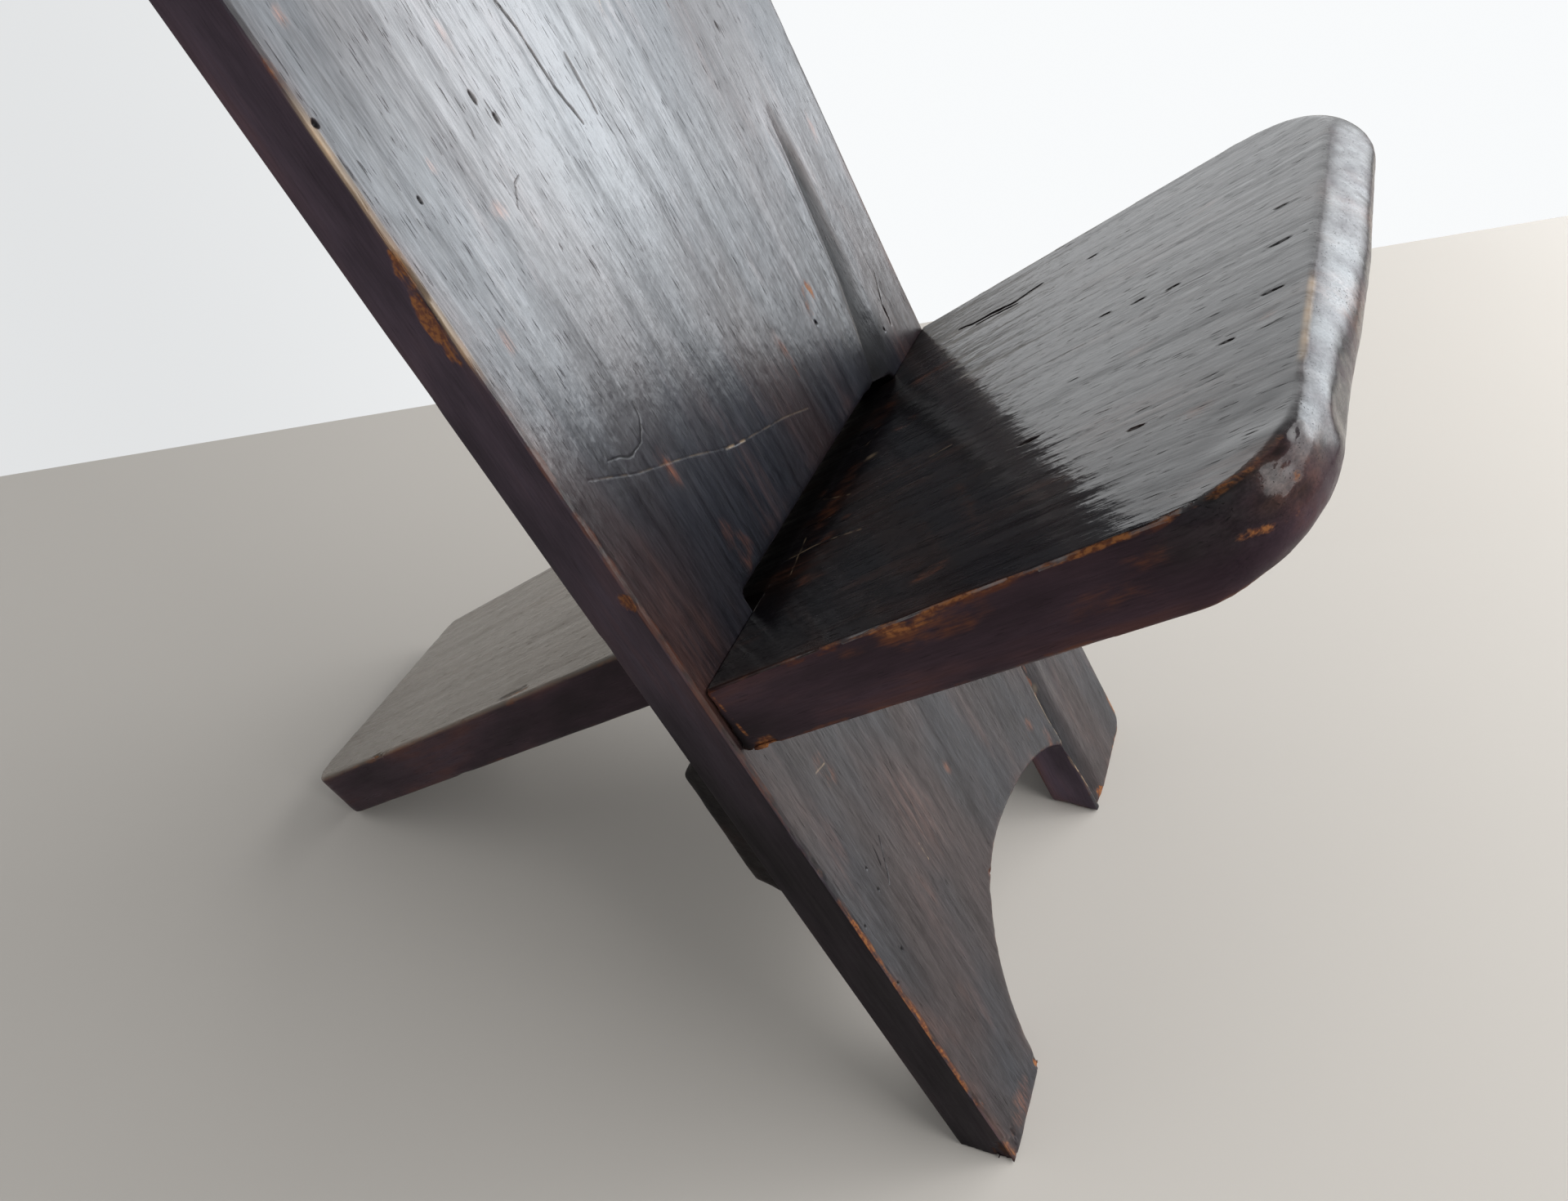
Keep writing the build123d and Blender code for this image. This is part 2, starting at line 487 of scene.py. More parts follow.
@dataclass(frozen=True)
class Channel(PathMark):
    """A hollow that follows the grain, steeper on one side than on the other."""

    depth: float = 3.0
    near_width: float = 4.0
    far_width: float = 20.0
    soot_and_shade: float = 0.0
    fade: float = 0.15
    fade_out: float = 0.15
    start_width: float = 1.0
    plateau: float = 0.0
    ridge: float = 0.0
    steep: float = 5.0

    def half_width(self) -> float:
        """The wider side's width."""
        return max(self.near_width, self.far_width)

    def zone(self, local: np.ndarray) -> np.ndarray:
        """Marks the places beside the lip, where that is steep."""
        beside = near_path(local, self.path)[0] < self.near_width + 3.0
        return beside & (local[:, 2] < self.face_reach) & (self.near_width < self.steep)

    def cut(self, skin: Region) -> None:
        """Presses the channel into a surface and paints it.

        Args:
            skin: The points.
        """
        distance, towards, share = near_path(skin.local, self.path)
        growth = self.start_width + (1 - self.start_width) * share
        width = np.where(towards > 0, self.far_width, self.near_width) * growth
        ends = ease(0, self.fade, share) * ease(1, 1 - self.fade_out, share)
        profile = ease(1.0, self.plateau, distance / width) * ends
        beside = hump(distance, self.near_width + 5.0, 4.0) * (towards <= 0)
        facing = skin.facing(self.side)
        skin.press(-self.ridge * beside * ends * facing)
        skin.carve((self.depth + 0.8) * profile)
        # dark paint in the hollow, strongest in its middle; in the trough above the seat it is painted shade
        skin.darken("soot_and_shade", self.soot_and_shade * (profile * facing) ** 0.7)


@dataclass(frozen=True)
class Split(PathMark):
    """A narrow, ragged crack with a dark floor."""

    width: float = 0.9
    depth: float = 1.0
    soot_and_shade: float = 1.0

    def cut(self, skin: Region) -> None:
        """Presses the crack into a surface and paints it.

        Args:
            skin: The points.
        """
        strays = [RAGGED.rough(skin.local + shift, (6.0, 14.0, 6.0), 2) for shift in (0, 90)]
        stray = 0.9 * np.stack(strays, 1)
        distance, _, share = near_path(skin.local[:, :2] + stray, self.path)
        taper = 0.35 + 0.65 * np.sqrt(np.clip(4 * share * (1 - share), 0, 1))
        taper = taper * (1 + 0.5 * RAGGED.at(skin.local, (2.5, 5.0, 2.5)))
        profile = ease(1.0, 0.0, distance / (self.width * taper)) * skin.facing(self.side)
        skin.press(self.depth * profile)
        skin.darken("soot_and_shade", self.soot_and_shade * profile ** 0.6)


@dataclass(frozen=True)
class Scratch(PathMark):
    """A fine, broken scrape."""

    width: float = 0.55
    amount: float = 0.7
    wear: Wear = Wear.PALE

    def cut(self, skin: Region) -> None:
        """Scrapes a surface and paints it.

        Args:
            skin: The points.
        """
        distance, _, share = near_path(skin.local, self.path)
        profile = ease(1.0, 0.2, distance / self.width) * skin.facing(self.side)
        broken = ease(-0.55, 0.5, RAGGED.rough(skin.local, (5.0, 5.0, 5.0), 2)) * ease(0, 0.1, share)
        skin.press(0.1 * profile)
        skin.darken(self.wear.value, self.amount * broken * profile)


@dataclass(frozen=True)
class Pit(Mark):
    """A small dark hole, longer along the grain than across."""

    centre: Point
    across: float = 1.0
    along: float = 2.0
    depth: float = 0.9
    side: Side = Side.SHOW
    face_reach: float = 7.0

    def outline(self) -> tuple[np.ndarray, float]:
        """The hole's ends."""
        tip = np.array([0.0, self.along])
        return np.array([self.centre - tip, self.centre + tip]), self.across + 3.0

    def zone(self, local: np.ndarray) -> np.ndarray:
        """Marks every place in the hole's box, near its own face."""
        return (local[:, 2] < self.face_reach) == (self.side is Side.SHOW)

    def cut(self, skin: Region) -> None:
        """Presses the hole into a surface.

        Args:
            skin: The points.
        """
        offset = (skin.local[:, :2] - np.array(self.centre)) / np.array([self.across, self.along])
        ragged = 1 + 0.45 * RAGGED.rough(skin.local, (1.8, 5.0, 1.8), 2)
        profile = ease(1.0, 0.1, np.linalg.norm(offset, axis=1) * ragged) * skin.facing(self.side)
        skin.press(self.depth * profile)
        skin.darken("soot_and_shade", 0.9 * profile ** 0.6)


@dataclass(frozen=True)
class Blob(Mark):
    """A mark round a centre, with its own reach in each direction: (across, along, through)."""

    centre: Place
    reach: Place
    amount: float = 0.6

    def outline(self) -> tuple[np.ndarray, float]:
        """The two far corners of the mark's box."""
        centre, reach = np.array(self.centre), np.array(self.reach)
        return np.array([centre - 1.4 * reach, centre + 1.4 * reach], dtype=float), 1.5

    def distance(self, local: np.ndarray, pitch: Place, strength: float) -> np.ndarray:
        """How far points are from the centre: 0 there, and about 1 at the rim, which noise makes ragged."""
        offset = (local - np.array(self.centre)) / np.array(self.reach)
        return np.linalg.norm(offset, axis=1) * (1 + strength * RAGGED.rough(local, pitch, 3))


@dataclass(frozen=True)
class Patch(Blob):
    """A softly rubbed place."""

    wear: Wear = Wear.BARE
    dip: float = 0.2

    def cut(self, skin: Region) -> None:
        """Wears the place in a surface.

        Args:
            skin: The points.
        """
        profile = ease(1.0, 0.1, self.distance(skin.local, (7.0, 16.0, 7.0), 0.3))
        skin.press(self.dip * profile)
        skin.darken(self.wear.value, self.amount * profile)


@dataclass(frozen=True)
class Chip(Blob):
    """A ragged bite out of a corner."""

    depth: float = 1.0

    def zone(self, local: np.ndarray) -> np.ndarray:
        """Marks the places in and round the bite."""
        offset = (local - np.array(self.centre)) / (np.array(self.reach) + 1.5)
        return np.linalg.norm(offset, axis=1) < 1.0

    def cut(self, skin: Region) -> None:
        """Presses the bite into a surface and shows the pale wood in it.

        Args:
            skin: The points.
        """
        profile = ease(1.0, 0.45, self.distance(skin.local, (3.5, 9.0, 3.5), 0.35))
        skin.press(self.depth * profile)
        skin.darken("bare", self.amount * profile)


@dataclass(frozen=True)
class RubbedEdge(Mark):
    """A corner line that hands have rubbed, along points given as (across, along, through)."""

    path: tuple[Place, ...]
    width: float = 1.6
    amount: float = 0.8
    wear: Wear = Wear.PALE

    def outline(self) -> tuple[np.ndarray, float]:
        """The line's corners and half width."""
        return np.array(self.path, dtype=float), self.width + 2.5

    def zone(self, local: np.ndarray) -> np.ndarray:
        """Marks the places beside the line."""
        return near_path(local, self.path)[0] < self.width + 2.0

    def cut(self, skin: Region) -> None:
        """Paints the line on a surface.

        Args:
            skin: The points.
        """
        distance, _, share = near_path(skin.local, self.path)
        uneven = 0.75 + 0.5 * RAGGED.rough(skin.local, (9.0, 13.0, 9.0), 2)
        ends = ease(0, 0.15, share) * ease(1, 0.85, share)
        beside = ease(self.width, 0.2 * self.width, distance)
        skin.darken(self.wear.value, self.amount * uneven * ends * beside)


@dataclass(frozen=True)
class Polish:
    """The thin wax and hand polish over the broad faces. Cover is how much the dullest streaks keep."""

    cover: float = 0.0
    roughness: float = 0.25
    ior: float = 1.62


@dataclass(frozen=True)
class WoodFinish:
    """A dark, handled hardwood. Colours are written as 0 to 255, sizes in metres."""

    name: str
    deep: Tint = (19, 14, 17)
    cool: Tint = (50, 50, 57)
    warm: Tint = (62, 44, 42)
    side: Tint = (58, 47, 52)
    russet: Tint = (106, 62, 44)
    line: Tint = (104, 60, 40)
    bare: Tint = (160, 104, 60)
    cream: Tint = (214, 186, 150)
    # dark colour for soot in cracks and pits, and for painted shade and painted dark reflections
    soot_and_shade: Tint = (12, 10, 10)
    russet_amount: float = 0.25
    figure: float = 0.45
    wander: float = 0.0035
    ridges: float = 0.4
    pores: float = 1.0
    pore_depth: float = 0.4
    under_gloss: float = 0.15
    streak_height: float = 0.45
    fibre_height: float = 0.2
    roughness: float = 0.38
    grain_height: float = 0.0007
    ior: float = 1.46
    polish: Polish = Polish()

    def material(self) -> bpy.types.Material:
        """Builds the shader: first the noises, then the colour, the roughness, the relief and the polish.

        Returns:
            The new material.
        """
        sheet = ShaderSheet(bpy.data.materials.new(self.name))
        grain = sheet.attribute("grain", "Vector")
        film, soot_and_shade, shine, shown = (sheet.attribute(name) for name in ("film", "soot_and_shade", "shine", "figure"))
        stray = sheet.product(sheet.sum(sheet.noise(grain, 14.0, 2.5, 1.0), -0.5), self.wander)
        path = sheet.vector_math("ADD", grain, stray)

        # noises, from broad to fine
        zones = sheet.noise(path, 12.0, 4.0, 2.0)
        clouds = sheet.noise(path, 26.0, 9.0, 3.0)
        bands = sheet.noise(path, 75.0, 3.0, 3.0)
        streaks = sheet.noise(path, 250.0, 17.0, 3.0)
        fibres = sheet.noise(path, 1000.0, 75.0, 3.0)
        dashes = sheet.noise(path, 1300.0, 85.0, 1.0)
        dents = sheet.noise(path, 140.0, 70.0, 2.0)
        specks = sheet.noise(grain, 520.0, 360.0, 2.0)
        ragged = sheet.noise(grain, 150.0, 60.0, 5.0)

        # the wood's own colour: figure on the broad faces, plain sides, russet and pores
        deep, russet, black = (written(*tint) for tint in (self.deep, self.russet, self.soot_and_shade))
        hue = sheet.mix(written(*self.cool), written(*self.warm), sheet.window(zones, 0.42, 0.60))
        figure = sheet.weighted((bands, 0.5), (streaks, 0.5))
        planed = sheet.mix(deep, hue, sheet.window(clouds, 0.0, 0.9))
        figured = sheet.mix(planed, sheet.mix(deep, hue, sheet.window(figure, 0.30, 0.70)), self.figure)
        plain = sheet.mix(deep, written(*self.side), sheet.window(clouds, 0.05, 0.95))
        tone = sheet.mix(plain, figured, shown)
        red_here = sheet.product(sheet.window(clouds, 0.50, 0.68), sheet.window(streaks, 0.36, 0.66))
        tone = sheet.mix(tone, russet, sheet.product(red_here, self.russet_amount))
        halo = sheet.product(sheet.attribute("halo"), sheet.window(clouds, 0.44, 0.72))
        tone = sheet.mix(tone, russet, sheet.product(halo, 0.25))
        rust = sheet.product(sheet.attribute("rust"), sheet.between(ragged, 0.2, 1.8),
                             sheet.between(fibres, 0.7, 1.3))
        tone = sheet.mix(tone, russet, sheet.product(sheet.window(rust, 0.1, 0.9), 0.8))
        strong = sheet.weighted((shown, 0.6), base=0.4)
        tone = sheet.shaded(tone, sheet.sum(sheet.product(sheet.between(fibres, -0.27, 0.27), strong), 1.0))
        pores = sheet.product(sheet.window(dashes, 0.36, 0.28), sheet.window(dents, 0.40, 0.58), strong,
                              self.pores)
        tone = sheet.mix(tone, black, sheet.product(pores, 0.8))

        # what wear shows: rubbed corners, bare wood and pale scratches; last the dark paint, which is soot in
        # cracks and pits, and painted shade and painted dark reflection in other places
        rubbed = sheet.product(sheet.attribute("edge"), sheet.between(ragged, 0.4, 1.3),
                               sheet.between(zones, 0.7, 1.15))
        rubbed = sheet.window(rubbed, 0.60, 1.05)
        tone = sheet.mix(tone, written(*self.line), sheet.product(rubbed, 0.6))
        worn = sheet.product(sheet.attribute("bare"), sheet.between(ragged, 0.2, 1.6),
                             sheet.between(fibres, 0.6, 1.3))
        worn = sheet.window(worn, 0.16, 0.75)
        ochre = sheet.mix(russet, written(*self.bare), sheet.window(specks, 0.38, 0.60))
        tone = sheet.mix(tone, ochre, sheet.product(worn, 0.85))
        pale = sheet.mix(tone, written(*self.cream), sheet.product(sheet.attribute("pale"), 0.8))
        # the dark paint goes on last: soot in cracks, painted shade in the slot, the trough and low on the
        # sides
        tone = sheet.mix(pale, black, soot_and_shade)

        # roughness, relief and polish
        rough = sheet.between(streaks, self.roughness - 0.08, self.roughness + 0.1)
        rough = sheet.weighted((rough, 1.0), (worn, 0.22), (soot_and_shade, 0.22), (pores, 0.3), (shine, -0.14))
        height = sheet.weighted((streaks, self.streak_height), (fibres, self.fibre_height), (clouds, 0.9),
                                (dents, 0.7), (specks, 0.10), (bands, self.ridges), (pores, -self.pore_depth))
        strength = sheet.product(sheet.weighted((film, 0.5), base=0.35), sheet.rest(shine))
        gloss = sheet.sum(sheet.between(streaks, 0.0, 0.40), sheet.between(fibres, 0.0, 0.40),
                          sheet.between(bands, 0.05, 0.40), self.polish.cover)
        waxed = sheet.most(sheet.product(film, gloss), sheet.product(shine, 0.55))
        waxed = sheet.product(sheet.math("MINIMUM", waxed, 1.0), sheet.rest(sheet.most(worn, soot_and_shade, pores)))

        shader = sheet.surface(tone, rough, self.ior, self.under_gloss)
        sheet.wax(shader, self.polish, waxed, sheet.bump(height, self.grain_height, strength))
        return sheet.close(shader.outputs[0])


class ShaderSheet:
    """Writes one node tree, a node at a time, from left to right."""

    COLUMN = 180
    NOISE_ROUGHNESS = 0.55
    NOISE_MIDDLE = (0.34, 0.66)

    def __init__(self, owner: bpy.types.Material | bpy.types.World) -> None:
        """Clears the owner's nodes.

        Args:
            owner: The material or world that the nodes belong to.
        """
        self.made = owner
        self.made.use_nodes = True
        self.tree = self.made.node_tree
        self.tree.nodes.clear()

    def node(self, kind: str) -> bpy.types.Node:
        """Adds a node of the given kind, to the right of the others."""
        column = len(self.tree.nodes)
        made = self.tree.nodes.new(kind)
        made.location = (self.COLUMN * column, 0)
        return made

    def link(self, source: Socket, target: Socket) -> None:
        """Joins two sockets."""
        self.tree.links.new(source, target)

    def put(self, target: Socket, value: object) -> None:
        """Links a socket, or sets it where the value is a number or a colour.

        Args:
            target: The socket to feed.
            value: A socket, a number, or a colour or vector.
        """
        if isinstance(value, bpy.types.NodeSocket):
            self.link(value, target)
        elif isinstance(value, tuple) and target.type == "RGBA":
            target.default_value = (*value, 1.0)
        else:
            target.default_value = value

    def step(self, kind: str, operation: str, values: tuple[object, ...]) -> bpy.types.Node:
        """Adds a node of arithmetic.

        Args:
            kind: The kind of node.
            operation: What it does.
            values: What goes into its sockets, in their order.

        Returns:
            The node.
        """
        node = self.node(kind)
        node.operation = operation
        for socket, value in zip(node.inputs, values):
            self.put(socket, value)
        return node

    def math(self, operation: str, *values: object) -> Socket:
        """One step of arithmetic on numbers or sockets."""
        return self.step("ShaderNodeMath", operation, values).outputs[0]

    def vector_math(self, operation: str, *values: object, output: str = "Vector") -> Socket:
        """One step of arithmetic on vectors."""
        return self.step("ShaderNodeVectorMath", operation, values).outputs[output]

    def dot(self, one: Socket, two: Place) -> Socket:
        """How far a vector runs in a fixed direction."""
        return self.vector_math("DOT_PRODUCT", one, two, output="Value")

    def chain(self, operation: str, first: object, *others: object) -> Socket:
        """Carries one operation over several numbers or sockets.

        Args:
            operation: What joins each value to the result so far.
            first: The first value.
            *others: The values after it.

        Returns:
            The result.
        """
        for value in others:
            first = self.math(operation, first, value)
        return first

    def product(self, *values: object) -> Socket:
        """Multiplies values."""
        return self.chain("MULTIPLY", *values)

    def sum(self, *values: object) -> Socket:
        """Adds values."""
        return self.chain("ADD", *values)

    def most(self, *values: object) -> Socket:
        """The largest of the values."""
        return self.chain("MAXIMUM", *values)

    def rest(self, value: Socket) -> Socket:
        """What a value leaves of 1."""
        return self.math("SUBTRACT", 1.0, value)

    def weighted(self, *parts: tuple[Socket, float], base: float = 0.0) -> Socket:
        """Adds values up, each times its own fixed share.

        Args:
            *parts: Values and their shares.
            base: The number that the sum starts from.

        Returns:
            The total.
        """
        total = base
        for value, share in parts:
            total = self.math("MULTIPLY_ADD", value, share, total)
        return total

    def attribute(self, name: str, output: str = "Fac") -> Socket:
        """Reads a painted amount, or the grain's own directions."""
        node = self.node("ShaderNodeAttribute")
        node.attribute_name = name
        return node.outputs[output]

    def noise(self, vector: Socket, across: float, along: float, detail: float) -> Socket:
        """Smooth noise, about 0 to 1.

        Args:
            vector: Where to read it.
            across: Cells per unit across the grain.
            along: Cells per unit along the grain.
            detail: How many finer layers it has.

        Returns:
            The noise value.
        """
        node = self.node("ShaderNodeTexNoise")
        self.link(self.vector_math("MULTIPLY", vector, (across, along, across)), node.inputs["Vector"])
        node.inputs["Scale"].default_value = 1.0
        node.inputs["Detail"].default_value = detail
        node.inputs["Roughness"].default_value = self.NOISE_ROUGHNESS
        return node.outputs["Fac"]

    def window(self, value: Socket, start: float, end: float) -> Socket:
        """Goes smoothly from 0 at start to 1 at end. End may be the smaller one."""
        falling = end < start
        spans = (min(start, end), max(start, end), float(falling), float(not falling))
        return self.mapped(value, "SMOOTHSTEP", spans)

    def between(self, value: Socket, low: float, high: float) -> Socket:
        """Spreads the middle of a noise value over the range from low to high."""
        return self.mapped(value, "LINEAR", (*self.NOISE_MIDDLE, low, high))

    def mapped(self, value: Socket, kind: str, spans: tuple[float, float, float, float]) -> Socket:
        """Carries a value from one range over to another, and holds it there.

        Args:
            value: The value.
            kind: How it runs between the ends.
            spans: Both ends of the first range, then both ends of the second.

        Returns:
            The new value.
        """
        node = self.node("ShaderNodeMapRange")
        node.interpolation_type = kind
        self.link(value, node.inputs["Value"])
        for name, end in zip(("From Min", "From Max", "To Min", "To Max"), spans):
            node.inputs[name].default_value = end
        return node.outputs["Result"]

    def mix(self, one: object, two: object, share: object) -> Socket:
        """Mixes two colours.

        Args:
            one: Colour at share 0.
            two: Colour at share 1.
            share: How much of the second.

        Returns:
            The mixed colour.
        """
        node = self.node("ShaderNodeMix")
        node.data_type = "RGBA"
        node.clamp_factor = True
        self.put(node.inputs[0], share)
        self.put(node.inputs[6], one)
        self.put(node.inputs[7], two)
        return node.outputs[2]

    def shaded(self, colour: Socket, amount: Socket) -> Socket:
        """Multiplies a colour by a value."""
        node = self.step("ShaderNodeVectorMath", "SCALE", (colour,))
        self.link(amount, node.inputs["Scale"])
        return node.outputs[0]

    def bump(self, height: Socket, distance: float, strength: object) -> Socket:
        """Turns heights into shading.

        Args:
            height: Height, about 0 to 1.
            distance: How tall a height of 1 is, in metres.
            strength: 0 to 1.

        Returns:
            The bent surface direction.
        """
        node = self.node("ShaderNodeBump")
        self.put(node.inputs["Strength"], strength)
        node.inputs["Distance"].default_value = distance
        self.link(height, node.inputs["Height"])
        return node.outputs[0]

    def surface(self, colour: object, rough: object, ior: float, gloss: float) -> bpy.types.Node:
        """Adds the surface shader.

        Args:
            colour: Base colour.
            rough: Roughness.
            ior: Index of refraction.
            gloss: How strong its gloss is.

        Returns:
            The shader's node.
        """
        shader = self.node("ShaderNodeBsdfPrincipled")
        self.put(shader.inputs["Base Color"], colour)
        self.put(shader.inputs["Roughness"], rough)
        shader.inputs["IOR"].default_value = ior
        shader.inputs["Specular IOR Level"].default_value = gloss
        return shader

    def wax(self, shader: bpy.types.Node, polish: Polish, amount: Socket, normal: Socket) -> None:
        """Lays polish over a surface that has relief.

        Args:
            shader: The surface's node.
            polish: The polish.
            amount: Where it lies, 0 to 1.
            normal: The bent surface direction, for the wood and the polish alike.
        """
        self.link(amount, shader.inputs["Coat Weight"])
        shader.inputs["Coat Roughness"].default_value = polish.roughness
        shader.inputs["Coat IOR"].default_value = polish.ior
        for name in ("Normal", "Coat Normal"):
            self.link(normal, shader.inputs[name])

    def glow(self, under: Socket, share: Socket, tint: Colour, strength: object) -> Socket:
        """Lets an even glow show in front of a surface. It lights nothing.

        Args:
            under: The surface.
            share: How much of the glow shows, 0 to 1.
            tint: The glow's colour.
            strength: How bright it is.

        Returns:
            The two together.
        """
        node = self.node("ShaderNodeEmission")
        self.put(node.inputs["Color"], tint)
        self.put(node.inputs["Strength"], strength)
        both = self.node("ShaderNodeMixShader")
        for socket, source in zip(both.inputs, (share, under, node.outputs[0])):
            self.link(source, socket)
        self.made.cycles.emission_sampling = "NONE"
        return both.outputs[0]

    def close(self, result: Socket, kind: str = "Material") -> bpy.types.Material | bpy.types.World:
        """Adds the output and gives back the finished material or world."""
        self.link(result, self.node(f"ShaderNodeOutput{kind}").inputs["Surface"])
        return self.made


def fresh_skin(node: str, axes: PlankAxes, step: float, rounds: int = 1, levels: tuple[float, ...] = ()
               ) -> Skin:
    """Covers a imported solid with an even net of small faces, softens its corners and finds them.

    Args:
        node: The CAD node's name.
        axes: The plank's own directions.
        step: Size of one small face, in millimetres.
        rounds: How often the corners are softened.
        levels: Depths of the broad faces that stay flat, in millimetres.

    Returns:
        The skin, ready to sculpt.
    """
    turn = axes.turned()
    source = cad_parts[node].data.copy()
    source.transform(turn)
    worker = placed(node + "_net", source)
    net = worker.modifiers.new("net", "REMESH")
    net.mode = "VOXEL"
    net.voxel_size = step * MM
    net.adaptivity = 0.0
    graph = bpy.context.evaluated_depsgraph_get()
    mesh = bpy.data.meshes.new_from_object(worker.evaluated_get(graph))
    bpy.data.objects.remove(worker)
    bpy.data.meshes.remove(source)
    mesh.transform(turn.inverted())
    skin = Skin(mesh, axes)
    skin.flatten(levels)
    skin.round_over(rounds)
    skin.find_edges()
    return skin


def show(name: str, mesh: bpy.types.Mesh, material: bpy.types.Material, body: str, slot: str,
         *nodes: str) -> bpy.types.Object:
    """Places a finished mesh in the scene as a piece of the chair.

    Args:
        name: The piece's name.
        mesh: Its mesh, in the row frame.
        material: Its finish.
        body: The CAD body that it rides on.
        slot: The record's material slot. Not used.
        *nodes: The CAD nodes that it stands for.

    Returns:
        The new object.
    """
    mesh.name = name
    mesh.materials.clear()
    mesh.materials.append(material)
    piece = placed(name, mesh)
    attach(piece, body)
    if nodes:
        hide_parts(*nodes)
    lowest = min(vertex.co.z for vertex in mesh.vertices)
    LOG.info("%s: %d points, lowest at %.2f mm", name, len(mesh.vertices), lowest / MM)
    return piece


def direction(angle: float) -> Place:
    """The direction in the chair's side view that is an angle above +Y, in degrees."""
    turn = math.radians(angle)
    return (0.0, math.cos(turn), math.sin(turn))


